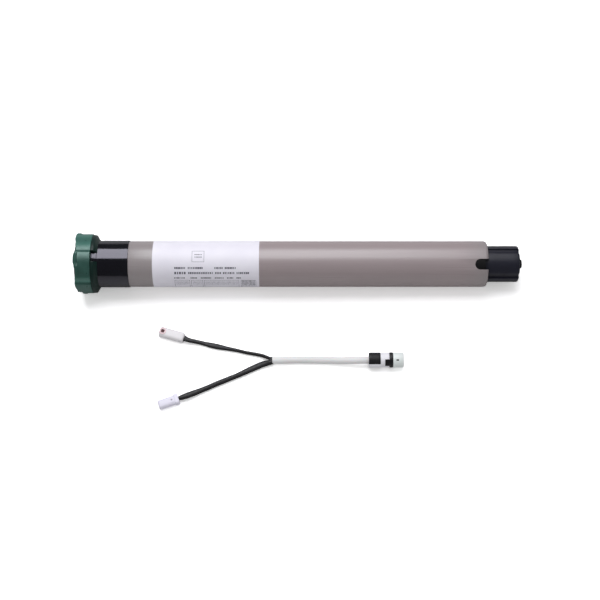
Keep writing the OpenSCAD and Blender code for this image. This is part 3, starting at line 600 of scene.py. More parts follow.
def crown_plastic(colour):
    """Filled green moulding: cloudy colour, light specks, painted highlights on the ramps and a soft satin
    skin.
    """
    tint = {"Specular Tint": (0.74, 1.0, 0.92, 1)}
    f = Finish("crown_moulding", colour, 0.33, specular=1.0, IOR=1.55, **tint)
    cloud = f.mix(f.patches((130, 90, 90), 4.0, 0.3, 0.75), scaled(colour, 0.88), scaled(colour, 1.22, 0.004))
    body = f.mix(f.patches(2400, 1.0, 0.68, 0.82), cloud, scaled(colour, 1.6, 0.01))
    # Painted highlight and painted floor reflection: the ramps are made lighter at fixed angles about the
    # axis
    f.paint(f.mix(f.round_mask(PAINTED_HIGHLIGHTS), body, scaled(colour, 2.3)))
    return f.worked((300, 0.06), (1700, 3.0, 8e-6, 0.5), (160, 2.0, 1.5e-5, 0.2))


def sleeve_skin(name, colour):
    """Thin shrunk sleeve of a leg: satin, with wrinkles along and across it."""
    f = Finish(name, colour, 0.46)
    f.mottle(240, 0.25, 4.0)
    return f.worked(((420, 900, 900), 0.12), ((170, 900, 900), 3.0, 1.6e-4, 0.7), (2600, 2.0, 2e-5, 0.4))


def cable_sheath(colour):
    """Soft white cable sheath with a slight core pattern that shows through."""
    soft = {"Subsurface Weight": 0.08, "Subsurface Scale": 0.002}
    f = Finish("cable_sheath", colour, 0.5, specular=0.4, **soft)
    f.mottle((45, 160, 160), 0.03)
    return f.worked((300, 0.08), ((90, 420, 420), 2.0, 7e-5, 0.4), (2200, 2.0, 1.2e-5, 0.5))


def label_film():
    """White print film: a fine tooth and very slight yellowing in patches."""
    f = Finish("label_film", shade(236, 234, 243), 0.38, specular=0.34)
    f.paint(f.mix(f.patches(60), shade(233, 231, 241), shade(238, 236, 245)))
    return f.worked((180, 0.07), (900, 3.0, 8e-6, 0.5))


def print_ink(name, colour):
    """Printing ink: slightly broken and uneven over the film."""
    f = Finish(name, colour, 0.5, specular=0.35)
    f.mottle(2200, 0.3)
    return f.worked((700, 0.1), (1600, 2.0, 6e-6, 0.5))


def circuit_board():
    """Green solder mask over copper tracks that lie in steps under it."""
    f = Finish("board_mask", shade(30, 104, 62), 0.34)
    values = {"Scale": 95.0, "Mortar Size": 0.06, "Brick Width": 0.9, "Row Height": 0.22, "Vector": f.place}
    lines = f.node("ShaderNodeTexBrick", values, offset=0.37).outputs["Fac"]
    f.paint(f.mix(lines, f.mix(f.patches(120), shade(22, 88, 52), shade(36, 116, 70)), shade(62, 148, 92)))
    f.bumps(lines, 4e-5, 0.6)
    return f.worked((260, 0.07), (1400, 2.0, 8e-6, 0.4))


def wound_copper():
    """Enamelled copper windings: close parallel wires with darker varnish between them."""
    f = Finish("wound_copper", shade(176, 92, 42), 0.32, metal=0.85)
    values = {"Scale": 620.0, "Distortion": 1.4, "Detail": 1.0, "Vector": f.place}
    wires = f.node("ShaderNodeTexWave", values, wave_type="BANDS", bands_direction="DIAGONAL").outputs["Fac"]
    f.paint(f.mix(wires, shade(96, 42, 20), shade(198, 112, 56)))
    f.bumps(wires, 1.5e-4, 0.7)
    return f.worked((500, 0.08))


def laminated_iron():
    """Stacked sheets of core iron with a bluish varnish."""
    f = Finish("core_iron", shade(112, 116, 124), 0.42, metal=0.9)
    values = {"Scale": 330.0, "Distortion": 0.3, "Vector": f.place}
    sheets = f.node("ShaderNodeTexWave", values, wave_type="BANDS", bands_direction="X").outputs["Fac"]
    f.paint(f.mix(sheets, shade(70, 74, 84), shade(134, 137, 142)))
    f.bumps(sheets, 8e-5, 0.6)
    return f.worked((380, 0.1))


def drawn_steel():
    """Zinc plated sheet steel: spangled, with drawing lines along it."""
    f = Finish("can_zinc", shade(164, 166, 168), 0.34, metal=0.95)
    cells = f.node("ShaderNodeTexVoronoi", {"Scale": 260.0, "Vector": f.place}).outputs["Distance"]
    f.paint(f.mix(cells, scaled(f.colour, 1.12), scaled(f.colour, 0.8)))
    return f.worked((220, 0.1), ((40, 1800, 1800), 2.0, 8e-6, 0.5))


def sintered(name, colour):
    """Porous sintered metal or ferrite: dark pores between bright grains."""
    f = Finish(name, colour, 0.46, metal=0.85)
    pores = f.patches(1700, 4.0, 0.36, 0.5)
    f.paint(f.mix(pores, scaled(colour, 0.35), colour))
    f.bumps(pores, 5e-5)
    return f.worked((900, 0.1))


# Operators


# Where the camera aims, in metres, and how far from there it stands
CAMERA_AIM, CAMERA_DISTANCE = (0.21946, -0.03214, -0.01499), 1.28


class MOTOR_OT_camera(Operator):
    """Places the camera at the photograph's angle"""
    bl_idname = "motor.camera"
    bl_label = "Camera"

    def execute(self, context):
        s = context.scene.blind_motor.stage
        camera = bpy.data.cameras.new("camera")
        camera.lens = s.lens
        camera.sensor_width = 36.0
        camera.clip_start = 0.05
        camera.clip_end = 20.0
        holder = placed("camera", camera)
        back = Vector((0, -math.cos(s.elevation), math.sin(s.elevation)))
        holder.location = Vector(CAMERA_AIM) + back * CAMERA_DISTANCE
        holder.rotation_euler = (math.pi / 2 - s.elevation, 0, 0)
        context.scene.camera = holder
        return {"FINISHED"}


class MOTOR_OT_tube(Operator):
    """Makes the drawn tube with its rolled rim and torque slot"""
    bl_idname = "motor.tube"
    bl_label = "Tube"

    def execute(self, context):
        s = context.scene.blind_motor.tube
        r, wall, rim = mm(s.diameter) / 2, mm(s.wall), mm(s.rim)
        x0, x1, chamfer = TUBE_X0, TUBE_X1, 0.15
        inner, rim_x = r - wall, x1 - rim
        outline = [(x0, inner + chamfer), (x0 + chamfer, inner)]
        outline += [(x0 + chamfer + (rim_x - x0) * k / 12, inner) for k in range(1, 12)]
        outline += arc(rim_x, r - rim, rim - wall, 90, 0, 8)
        outline += arc(rim_x, r - rim, rim, 0, 90, 12)
        outline += [(rim_x - (rim_x - x0) * k / 12, r) for k in range(1, 12)]
        outline += [(x0 + 0.25, r), (x0 + 0.08, r - 0.07), (x0, r - 0.25)]
        tube = turned("tube_shell", outline, 256)
        half = mm(s.slot_width) / 2
        round_x, mouth = x1 - mm(s.slot_length) + half, x1 + 2
        edge = [(round_x, half)] + arc(round_x, 0, half, 100, 260, 20) + [(round_x, -half)]
        tool = slab("slot_tool", edge + [(mouth, -half), (mouth, half)], r - 8.5, r + 3)
        tool.data.transform(Matrix.Rotation(s.slot_angle - math.pi / 2, 4, "X"))
        cut(tube, [tool], sharp=30)
        rounded(tube, 0.00012, steps=2, limit=50, sharp=30)
        settle(tube, HOUSING, "tube_taupe", anodised_tube(tuple(s.colour)), "motor_tube")
        return {"FINISHED"}


class MOTOR_OT_head(Operator):
    """Makes the head with its flange, spigot, bracket screw holes and latch tongue"""
    bl_idname = "motor.head"
    bl_label = "Head"

    def execute(self, context):
        s = context.scene.blind_motor.head
        r, flange, flange_x1 = mm(s.diameter) / 2, mm(s.flange) / 2, 3
        x2, spigot, spigot_x1 = TUBE_X0, 21.2, span("head_body")[1]
        socket, socket_wall, socket_x1 = mm(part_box("socket_sleeve")[1].y) + 0.05, 2.05, 16
        hollow, hollow_x0, face = 17.5, 18.2, 20.1
        outline = [(0.3, socket), (0, socket + 0.3), (0, face)] + arc(0.35, face + 0.05, 0.35, 180, 90, 3)[:2]
        outline += [(0.1, face + 0.4), (1.45, flange - 0.1), (1.6, flange)]
        outline += [(flange_x1, flange), (flange_x1, r)]
        outline += [(flange_x1 + (x2 - flange_x1 - 0.3) * k / 10, r) for k in range(1, 10)]
        outline += [(x2 - 0.35, r), (x2 - 0.12, r - 0.06), (x2, r - 0.25), (x2, spigot)]
        outline += [(spigot_x1 - 0.8, spigot), (spigot_x1, spigot - 0.8), (spigot_x1, hollow)]
        outline += [(hollow_x0, hollow), (hollow_x0, socket + socket_wall)]
        outline += [(socket_x1, socket + socket_wall), (socket_x1, socket)]
        head = turned("head_shell", outline, 224)
        hole_r, hole_x1, tools = mm(s.screw_hole) / 2, 12, []
        drill = [(-1, 0), (-1, hole_r + 1.3), (0.3, hole_r), (hole_x1, hole_r), (hole_x1 + 0.8, 0)]
        for k in range(s.screw_count):
            hole = turned("hole", drill, 40)
            place = spot(0, mm(s.screw_circle) / 2, 45 + k * 360 / s.screw_count)
            hole.data.transform(Matrix.Translation(place))
            tools.append(hole)
        cut(head, tools)
        foot, high, x0, x1 = r - 0.6, r + 0.9, CROWN_X1 + 0.6, COLLAR_X1
        side = [(x0, foot), (x0, high - 0.2), (x0 + 0.2, high), (x0 + 1.4, high), (x0 + 2.2, r + 0.45),
                (x1 - 1.0, r + 0.35), (x1 - 0.6, r + 0.15), (x1 - 0.5, foot)]
        half = mm(s.tongue_width) / 2
        tongue = rounded(slab("tongue", side, -half, half), 0.0003, steps=2)
        tongue.data.transform(Matrix.Rotation(s.tongue_angle, 4, "X"))
        head = joined("head_shell", [head, tongue])
        settle(head, HOUSING, "head_black", gloss_black(tuple(s.colour)), "head_body")
        return {"FINISHED"}


# The crown's pads: start, top, end and foot about the axis in degrees, and mm below the tallest
PADS = [
    (-17, -5, 30, 70, 0.0), (86, 95, 144, 155, 0.05), (156.5, 161, 212, 224, 0.6), (240, 252, 316, 328, 0.0),
]
# Lumps of the crown: middle, width and flank in degrees
EARS = ((24, 27, 9), (301, 27, 9))
LOW_FRONT, LOW_BOSS, FRONT_BOSS = (206, 26, 10), (204, 20, 6), (106.5, 22, 10)
# The crown's front edge all round: angle, and place along the motor in mm
FRONT = [
    (-16, 1.6), (10, 0.6), (24, 0.05), (36, 0.05), (50, 0.2), (65, 1.2), (86, 2.0), (95, 0.8), (101, 0.03),
    (112, 0.03), (119, 1.0), (130, 2.1), (139, 2.1), (150, 1.2), (160, 0.7), (170, 1.0), (181, 2.0),
    (210, 1.6), (285, 1.6), (293, 0.3), (301, 0.05), (309, 0.3), (317, 1.6), (344, 1.6),
]
# Where the crown's skin has points: distances behind its front edge, then places along the motor, in mm
NEAR = [0, 0.03, 0.09, 0.19, 0.33, 0.52, 0.78, 1.1, 1.4]
FAR = [3.7, 4.0, 4.3, 4.4, 4.5, 4.6, 4.7, 4.9, 5.2, 5.5, 5.8, 6.2, 6.5, 6.9, 7.5, 8.5, 9.5, 10.1, 10.5, 11,
       12.2, 13.5, 14.8, 15.8]


def between(angle, start, top, end, foot):
    """1 between top and end, 0 before start and after foot, with eased flanks. Angles are in degrees."""
    off = (angle - start) % 360
    return min(ease(0, top - start, off), 1 - ease(end - start, foot - start, off))


def front_edge(angle):
    """Where the crown's front edge is at an angle, in mm."""
    off = (angle - FRONT[0][0]) % 360 + FRONT[0][0]
    for (a, x), (b, y) in zip(FRONT, FRONT[1:]):
        if off <= b:
            return x + (y - x) * ease(a, b, off)
    return FRONT[-1][1]


def lump(angle, middle, width, flank):
    """1 over a stretch of the circle and 0 outside it, with eased flanks."""
    off = abs((angle - middle + 180) % 360 - 180)
    return 1 - ease(width / 2 - flank / 2, width / 2 + flank / 2, off)


def quarter(share):
    """Depth of a quarter round, which falls from 1 at its start to 0 at a share of 1."""
    return 1 - math.sqrt(max(0.0, 1 - (1 - min(1.0, share)) ** 2))


class MOTOR_OT_crown(Operator):
    """Makes the running crown with its rounded pads, valleys and stop ears"""
    bl_idname = "motor.crown"
    bl_label = "Crown"

    def execute(self, context):
        s = context.scene.blind_motor.crown
        valley, pad, ear = mm(s.between) / 2, mm(s.over_pads) / 2, mm(s.over_ears) / 2
        bore, seat, seat_x, x1 = 23.15, 24.5, 3.3, CROWN_X1
        ear_x, ear_reach = mm(s.ear_length) / 2, mm(s.ear_length) / 2 + 0.45
        boss_x1, rear_edge = 4.5, 0.5
        # Stretches along the motor in mm over which a form begins or ends, and depths in mm
        sunk_end, groove_start = (5.2, 6.2), (3.7, 3.95)
        low_boss_rise, low_boss_end = (6.1, 6.9), (10.1, 11.0)
        low_depth, dome_depth, dome_fall, groove_depth = 1.0, 0.5, 1.4, 1.3

        def radius(a, x, start, ears):
            r = valley + max(between(a, *p[:4]) * (pad - p[4] - valley) for p in PADS)
            # The front of the low pad is sunk, and a boss stands behind it
            r -= min(r - valley, low_depth) * lump(a, *LOW_FRONT) * (1 - ease(*sunk_end, x))
            r += (ear - r) * ears * max(0.0, 1 - ((x - ear_x) / ear_reach) ** 2) ** 0.75
            low_boss = lump(a, *LOW_BOSS) * ease(*low_boss_rise, x) * (1 - ease(*low_boss_end, x))
            r += max(0.0, pad - r) * low_boss
            # The front boss is a dome with a groove behind it
            boss = lump(a, *FRONT_BOSS)
            sunk = dome_depth + groove_depth * ease(*groove_start, x) + dome_fall * quarter(x / boss_x1)
            r -= boss * (1 - ease(boss_x1 - 0.1, boss_x1 + 0.1, x)) * sunk
            fillet = 1.1 - 0.4 * boss
            return r - fillet * quarter((x - start) / fillet) - rear_edge * quarter((x1 - x) / rear_edge)

        rings, steps = [], 600
        far = FAR + [x1 - off for off in (rear_edge, 0.35, 0.2, 0.08, 0)]
        for a in (360 * i / steps for i in range(steps)):
            ears = max(lump(a, *e) for e in EARS)
            start = front_edge(a)
            ring = [(x1, bore), (seat_x + 0.1, bore), (seat_x, bore + 0.1), (seat_x, seat), (start, seat)]
            ring += [(x, radius(a, x, start, ears)) for x in [start + off for off in NEAR] + far]
            rings.append([spot(x, r, a) for x, r in ring])
        crown = skin("crown_ring_shell", rings, closed=True, sharp=48)
        settle(crown, "crown_ring", "crown_green", crown_plastic(tuple(s.colour)), "crown")
        return {"FINISHED"}


class MOTOR_OT_collar(Operator):
    """Makes the split collar behind the crown"""
    bl_idname = "motor.collar"
    bl_label = "Collar"

    def execute(self, context):
        s = context.scene.blind_motor.head
        r, outer = mm(s.diameter) / 2 + 0.05, mm(s.collar) / 2
        x0, x1 = CROWN_X1 + 0.3, COLLAR_X1
        outline = [(x0, r + 0.1), (x0, outer - 0.25), (x0 + 0.08, outer - 0.07), (x0 + 0.25, outer),
                   (x0 + 2.8, outer - 0.18), (x0 + 3.1, outer - 0.35), (x1 - 0.15, r + 0.5), (x1, r + 0.3),
                   (x1, r)]
        half = math.degrees(math.asin((mm(s.tongue_width) / 2 + 0.5) / outer))
        collar = turned("collar_ring", outline, 180, math.degrees(s.tongue_angle) + half, 360 - 2 * half)
        rounded(collar, 0.00012, steps=2, limit=50)
        green = moulded("collar_moulding", shade(17, 41, 36), 0.38, specular=0.3, depth=1.2e-5)
        settle(collar, HOUSING, "collar_black", green, "crown_collar")
        return {"FINISHED"}


# Lines of the label: place and length along the motor in mm, angle, height and width of a bar in mm
WORDS = [
    (97.6, 11.0, 126.5, 1.9, 1.6), (110.5, 15.0, 126.5, 1.9, 1.7), (136.3, 8.5, 126.5, 1.9, 1.5),
    (146.5, 11.0, 126.5, 1.9, 1.6), (97.4, 11.5, 139.3, 2.4, 2.2), (110.8, 24.5, 139.3, 2.0, 1.7),
    (137.0, 6.0, 139.3, 2.0, 1.6), (144.6, 11.5, 139.3, 2.0, 1.7), (157.6, 12.6, 139.3, 2.0, 1.7),
    (97.1, 10.5, 153.3, 1.5, 1.3), (113.0, 6.5, 153.3, 1.5, 1.3), (123.0, 10.5, 153.3, 1.5, 1.4),
    (136.6, 9.0, 153.3, 1.5, 1.3), (148.4, 6.5, 153.3, 1.5, 1.3), (157.6, 4.5, 153.3, 1.5, 1.3),
]
# Outlined boxes of the label: both ends along the motor in mm, and both angles
BOXES = [
    (114.7, 126.6, 83.0, 111.7), (97.6, 112.2, 160.5, 196.0), (113.6, 124.9, 160.5, 196.0),
    (126.2, 160.0, 160.5, 196.0), (161.9, 176.6, 160.5, 196.0),
]
# Lines in the boxes: angles of two in each lower box, and place, length and angles of those in the upper box
# and in the last one
LOWER_LINES = (167.5, 175.5)
UPPER_BOX_LINES = (117.0, 7.4, (93.0, 99.5))
LAST_BOX_LINES = (162.6, 13.2, (163.5, 171.5, 179.5, 187.5))


def curved_strip(x0, x1, a0, a1, radius, height=0.012):
    """Thin closed strip on a cylinder."""
    steps = max(1, round((a1 - a0) / 3))
    corners = ((x0, radius), (x1, radius), (x1, radius + height), (x0, radius + height))
    angles = [a0 + (a1 - a0) * k / steps for k in range(steps + 1)]
    return skin("strip", [[spot(x, r, a) for x, r in corners] for a in angles])


def box_frame(x0, x1, a0, a1, radius, line=0.28):
    """The four strips of an outlined box on a cylinder."""
    turn = math.degrees(line / radius)
    sides = [(x0, x1, a0, a0 + turn), (x0, x1, a1 - turn, a1)]
    sides += [(x0, x0 + line, a0, a1), (x1 - line, x1, a0, a1)]
    return [curved_strip(*side, radius) for side in sides]


# How thick the print is, in metres, and how much of its pitch a bar fills
PRINT_THICKNESS, SHORTEST_BAR, LONGEST_BAR = 0.00003, 0.42, 0.86


def word_line_tree(ink):
    """Geometry Nodes that set short print bars of uneven length in a line along the tube."""
    tree, given = node_group("print_line", {
        "Bars": ("Int", 20), "Start": ("Float", 0.1), "Length": ("Float", 0.05), "Angle": ("Float", 2.0),
        "Radius": ("Float", 0.0227), "Height": ("Float", 0.0011), "Seed": ("Int", 1)})

    def maths(operation, *values):
        return new_node(tree, "ShaderNodeMath", dict(enumerate(values)), operation=operation).outputs[0]

    def vector(*values):
        return new_node(tree, "ShaderNodeCombineXYZ", dict(enumerate(values))).outputs[0]

    pitch = maths("DIVIDE", given["Length"], given["Bars"])
    y = maths("MULTIPLY", given["Radius"], maths("COSINE", given["Angle"]))
    z = maths("MULTIPLY", given["Radius"], maths("SINE", given["Angle"]))
    start = vector(maths("ADD", given["Start"], maths("MULTIPLY", pitch, 0.5)), y, z)
    line = new_node(tree, "GeometryNodeMeshLine", {
        "Count": given["Bars"], "Start Location": start, "Offset": vector(pitch)})
    bar = new_node(tree, "GeometryNodeMeshCube", {"Size": vector(pitch, given["Height"], PRINT_THICKNESS)})
    uneven = new_node(tree, "FunctionNodeRandomValue", {"Seed": given["Seed"]}, data_type="FLOAT")
    shortest, longest = [socket for socket in uneven.inputs if socket.type == "VALUE"][:2]
    shortest.default_value = SHORTEST_BAR
    longest.default_value = LONGEST_BAR
    share = [socket for socket in uneven.outputs if socket.type == "VALUE"][0]
    put = new_node(tree, "GeometryNodeInstanceOnPoints", {
        "Points": line.outputs[0], "Instance": bar.outputs["Mesh"], "Scale": vector(share, 1.0, 1.0),
        "Rotation": vector(maths("SUBTRACT", given["Angle"], math.pi / 2))})
    return end_group(tree, put.outputs[0], ink)


class MOTOR_OT_label(Operator):
    """Makes the rating label with its plain lines and boxes"""
    bl_idname = "motor.label"
    bl_label = "Rating label"

    def execute(self, context):
        low, high = span("rating_label")
        inner, outer, edge, wrap_start, wrap = 22.55, 22.7, 0.04, -30, 250
        outline = [(low, inner), (high, inner), (high, outer - edge), (high - 0.05, outer)]
        outline += [(low + 0.05, outer), (low, outer - edge)]
        label = turned("label_sheet", outline, 160, wrap_start, wrap)
        settle(label, HOUSING, "label_white", label_film(), "rating_label")
        ink = print_ink("label_ink", shade(84, 84, 96))
        lines = [strip for box in BOXES for strip in box_frame(*box, outer)]
        margin, fine, coarse = 1.2, (0.9, 1.2), (1.2, 1.3)
        rows = list(WORDS)
        for x0, x1, _, _ in BOXES[1:]:
            rows += [(x0 + margin, x1 - x0 - 2 * margin, a, *fine) for a in LOWER_LINES]
        for (x, length, angles), bars in ((UPPER_BOX_LINES, fine), (LAST_BOX_LINES, coarse)):
            rows += [(x, length, a, *bars) for a in angles]
        tree = word_line_tree(ink)
        for k, (x, length, angle, height, pitch) in enumerate(rows):
            lines.append(grown("row", tree, {
                "Bars": max(2, round(length / pitch)), "Start": x / 1000, "Length": length / 1000,
                "Angle": math.radians(angle), "Radius": outer / 1000, "Height": height / 1000, "Seed": k}))
        settle(joined("label_print", lines), HOUSING, "label_white", ink)
        return {"FINISHED"}


def hub_outline(s):
    """Section of the hub with its lobes and grooves, as (y, z) points in mm."""
    r, half = mm(s.diameter) / 2, mm(s.groove_width) / 2
    shy, lobe_turn, lobe_steps = 1.2, 88, 24
    floor, gap = r - mm(s.groove_depth), math.degrees(math.asin(half / r))
    lobe = [gap + shy + (lobe_turn - 2 * gap) * i / lobe_steps for i in range(lobe_steps)] + [90 - gap - shy]
    flank = [(r - 0.45, half + 0.12), (r - 0.9, half), (floor + 0.5, half), (floor + 0.12, half - 0.15),
             (floor, half - 0.5)]
    groove = [(u, -v) for u, v in flank] + flank[::-1]
    outline = []
    for k in range(4):
        start = math.degrees(s.groove_angle) + 45 + 90 * k
        angles = [math.radians(start + a) for a in lobe]
        outline += [(r * math.cos(t), r * math.sin(t)) for t in angles]
        t = math.radians(start + 90)
        out, across = Vector((math.cos(t), math.sin(t))), Vector((-math.sin(t), math.cos(t)))
        outline += [tuple(out * u + across * v) for u, v in groove]
    return outline


def lobed_hub(s, x0, x1):
    """Hub with a square well, a bore for the screw and a ring in its face."""
    outline, edge, rear = hub_outline(s), mm(s.edge), 0.5
    stations = [(x0, 0.25), (x0 + 0.2, 0.05), (x0 + rear, 0)]
    stations += [(x0 + rear + (x1 - edge - x0 - rear) * k / 8, 0) for k in range(1, 9)]
    turns = [math.radians(a) for a in range(15, 91, 15)]
    stations += [(x1 - edge + edge * math.sin(t), edge * (1 - math.cos(t))) for t in turns]
    rings = []
    for x, inset in stations:
        shares = [1 - inset / math.hypot(y, z) for y, z in outline]
        rings.append([Vector((x, y * k, z * k)) / 1000 for (y, z), k in zip(outline, shares)])
    hub = skin("hub_shell", rings, sharp=32)
    square, well_depth, bore, rim_in, rim_out = 5.65, 24.3, 2.05, 7.6, 8.2
    corners = [(y * square, z * square) for y, z in ((-1, -1), (1, -1), (1, 1), (-1, 1))]
    well = prism("well", rounded_outline(corners, 0.4), x0 - 1, x0 + well_depth)
    hole = turned("bore", [(x0, 0), (x0, bore), (x1 + 2, bore), (x1 + 2, 0)], 48)
    rim_edge = [(x1 - 0.5, rim_in), (x1 - 0.5, rim_out), (x1 + 1, rim_out), (x1 + 1, rim_in)]
    return cut(hub, [well, hole, turned("ring", rim_edge, 96)], sharp=32)


def socket_screw(s, seat):
    """Screw with a hexagon socket, whose head stands on the hub's face at the seat."""
    low, top = span("hub_screw")
    head, shank, dish, key, key_depth = mm(s.screw_head) / 2, 2.0, 0.25, 2.3, 2.2
    outline = [(low, 0), (low, 1.7), (low + 0.4, shank), (seat, shank), (seat, head - 0.2)]
    outline += [(seat + 0.15, head), (top - 0.8, head)] + arc(top - 0.8, head - 0.8, 0.8, 90, 0, 5)[1:]
    outline += [(top, 2.9), (top - dish, 2.65), (top - dish, 0)]
    screw = turned("hub_screw_head", outline, 96)
    cut(screw, [prism("key", arc(0, 0, key, 0, 300, 5), top - key_depth, top + 1)])
    return rounded(screw, 0.00008, steps=2, limit=45)


class MOTOR_OT_hub(Operator):
    """Makes the lobed drive hub and its socket screw"""
    bl_idname = "motor.hub"
    bl_label = "Drive hub"

    def execute(self, context):
        s = context.scene.blind_motor.hub
        x0, x1 = span("drive_hub")
        black = moulded("hub_moulding", tuple(s.colour), 0.36, specular=0.5, mottle=0.1, depth=1.6e-5,
                        spark=1500)
        settle(lobed_hub(s, x0, x1), "drive", "hub_black", black, "drive_hub")
        dark = machined("screw_blackened", shade(30, 30, 34), 0.4, metal=0.55, lines=500, mottle=0.2)
        settle(socket_screw(s, x1), "drive", "screw_black", dark, "hub_screw")
        return {"FINISHED"}


def on_plug(off=0.0):
    """Matrix that sets a piece on the plug's axis, some mm past the start of the cable's route."""
    x, y, height = CABLE_ROUTE[0]
    return FLOOR_MATRIX @ moved(x + off, y, height)


def plug_turned(name, outline, steps=72, start=0.0, wrap=360.0):
    """Outline of (distance from the plug's rear, radius) points, turned about the plug's axis."""
    piece = turned(name, outline, steps, start, wrap)
    piece.data.transform(on_plug())
    return piece


def rib_tree():
    """Geometry Nodes that set thin rings at even distances along an axis."""
    tree, given = node_group("grip_ribs", {
        "Count": ("Int", 6), "Pitch": ("Float", 0.0014), "Radius": ("Float", 0.0069),
        "Thickness": ("Float", 0.0003), "Finish": ("Material", None)})
    circle = "GeometryNodeCurvePrimitiveCircle"
    ring = new_node(tree, circle, {"Resolution": 72, "Radius": given["Radius"]})
    section = new_node(tree, circle, {"Resolution": 10, "Radius": given["Thickness"]})
    rib = new_node(tree, "GeometryNodeCurveToMesh", {
        "Curve": ring.outputs["Curve"], "Profile Curve": section.outputs["Curve"]})
    offset = new_node(tree, "ShaderNodeCombineXYZ", {"X": given["Pitch"]})
    line = new_node(tree, "GeometryNodeMeshLine", {"Count": given["Count"], "Offset": offset.outputs[0]})
    put = new_node(tree, "GeometryNodeInstanceOnPoints", {
        "Points": line.outputs[0], "Instance": rib.outputs["Mesh"], "Rotation": (0, math.pi / 2, 0)})
    return end_group(tree, put.outputs[0], given["Finish"])


# Where the grip starts, and where it, the body, the latch ring and the nose end, in mm from the plug's rear
GRIP_X0, GRIP_X1, BODY_X1, LATCH_X1, NOSE_X1 = -0.6, 10.5, 19.1, 22.7, 32.9


def ribbed_grip(s, r):
    """Rubber grip with fine ribs round it."""
    black = rubbery("grip_rubber", shade(34, 34, 36), 0.5)
    cable = mm(s.cable) / 2 + 0.05
    outline = [(GRIP_X0, cable), (GRIP_X0, r - 0.6)] + arc(GRIP_X0 + 0.5, r - 0.6, 0.5, 180, 90, 4)
    outline += [(3, r - 0.08), (7.5, r - 0.08), (9.9, r - 0.1), (GRIP_X1, r - 0.35), (GRIP_X1, cable)]
    grip = plug_turned("plug_grip_shell", outline, 96)
    ribs_x0, ribs_length, sunk, thickness = 1.9, 7.8, 0.37, 0.32
    ribs = grown("ribs", rib_tree(), {
        "Count": s.rib_count, "Pitch": ribs_length / 1000 / s.rib_count, "Radius": (r - sunk) / 1000,
        "Thickness": thickness / 1000, "Finish": black})
    ribs.data.transform(on_plug(ribs_x0))
    settle(joined("plug_grip_shell", [grip, ribs]), HOUSING, "plug_black", black, "plug_grip")


def strapped_body(r):
    """White body, and the strap that runs from it over the grip."""
    white = moulded("plug_white_moulding", shade(241, 241, 246), 0.42, specular=0.35, mottle=0.03, depth=1e-5)
    inner, strap_start, strap_turn = 3.6, 146, 56
    body = plug_turned("plug_body_shell", [
        (GRIP_X1, inner), (GRIP_X1, r - 0.75), (10.9, r - 0.35), (11.3, r - 0.3), (17.6, r - 0.3),
        (18.6, r - 0.35), (BODY_X1, r - 0.6), (BODY_X1, inner)], 96)
    strap = plug_turned("strap", [
        (-0.66, r - 0.9), (-0.66, r - 0.2), (-0.45, r + 0.02), (10.9, r + 0.02), (11.2, r - 0.05),
        (11.2, r - 0.47)], 40, strap_start, strap_turn)
    rounded(strap, 0.00012, steps=2)
    settle(joined("plug_body_shell", [body, strap]), HOUSING, "plug_white", white, "plug_body")


def hooked_latch(r):
    """Latch ring, and the hook that reaches back from it over the body."""
    black = moulded("latch_moulding", shade(28, 28, 31), 0.4, specular=0.5, mottle=0.1, depth=1.5e-5)
    inner, arm_start, arm_turn = 4.0, 108, 52
    ring = plug_turned("plug_latch_shell", [
        (BODY_X1, inner), (BODY_X1, r - 0.25), (19.35, r - 0.03), (19.6, r), (22.2, r), (22.55, r - 0.12),
        (LATCH_X1, r - 0.4), (LATCH_X1, inner)], 96)
    arm = plug_turned("arm", [
        (14.9, r - 0.28), (14.9, r + 0.25), (15.2, r + 0.5), (18.6, r + 0.5), (19.4, r + 0.1),
        (19.4, r - 0.28)], 24, arm_start, arm_turn)
    rounded(arm, 0.00018, steps=2)
    settle(joined("plug_latch_shell", [ring, arm]), HOUSING, "latch_black", black, "plug_latch")


def drilled_nose(r):
    """Nose with a hole for each of the four contacts, and its key mark."""
    pale = moulded("nose_moulding", shade(236, 243, 241), 0.36, specular=0.5, mottle=0.05, depth=1e-5)
    nose = plug_turned("plug_nose_shell", [
        (LATCH_X1, 0), (LATCH_X1, r - 0.35), (23.1, r - 0.12), (31.6, r - 0.12), (32.4, r - 0.5),
        (NOSE_X1, r - 1.1), (NOSE_X1, 0)], 96)
    drill = [(25, 0), (25, 1.15), (32.7, 1.15), (33.4, 1.8), (34, 1.8), (34, 0)]
    hole_circle, holes = 3.2, []
    for angle in (45, 135, 225, 315):
        hole = plug_turned("hole", drill, 28)
        hole.data.transform(Matrix.Translation(FLOOR_MATRIX.to_3x3() @ spot(0, hole_circle, angle)))
        holes.append(hole)
    settle(cut(nose, holes), HOUSING, "nose_pale", pale, "plug_nose")
    x0, x1, low, high, mark_start, mark_turn = 25.7, 28.1, r - 0.2, r - 0.1, 107, 12
    mark_edge = [(x0, low), (x0, high), (x1, high), (x1, low)]
    mark = plug_turned("plug_key_mark", mark_edge, 3, mark_start, mark_turn)
    settle(mark, HOUSING, "nose_pale", moulded("key_mark", shade(70, 74, 74), 0.5, specular=0.4, mottle=0.1))


class MOTOR_OT_plug(Operator):
    """Makes the plug: its grip, body, latch ring, hook and nose"""
    bl_idname = "motor.plug"
    bl_label = "Plug"

    def execute(self, context):
        s = context.scene.blind_motor.lead
        radius = mm(s.plug) / 2
        ribbed_grip(s, radius)
        strapped_body(radius)
        hooked_latch(radius)
        drilled_nose(radius)
        return {"FINISHED"}


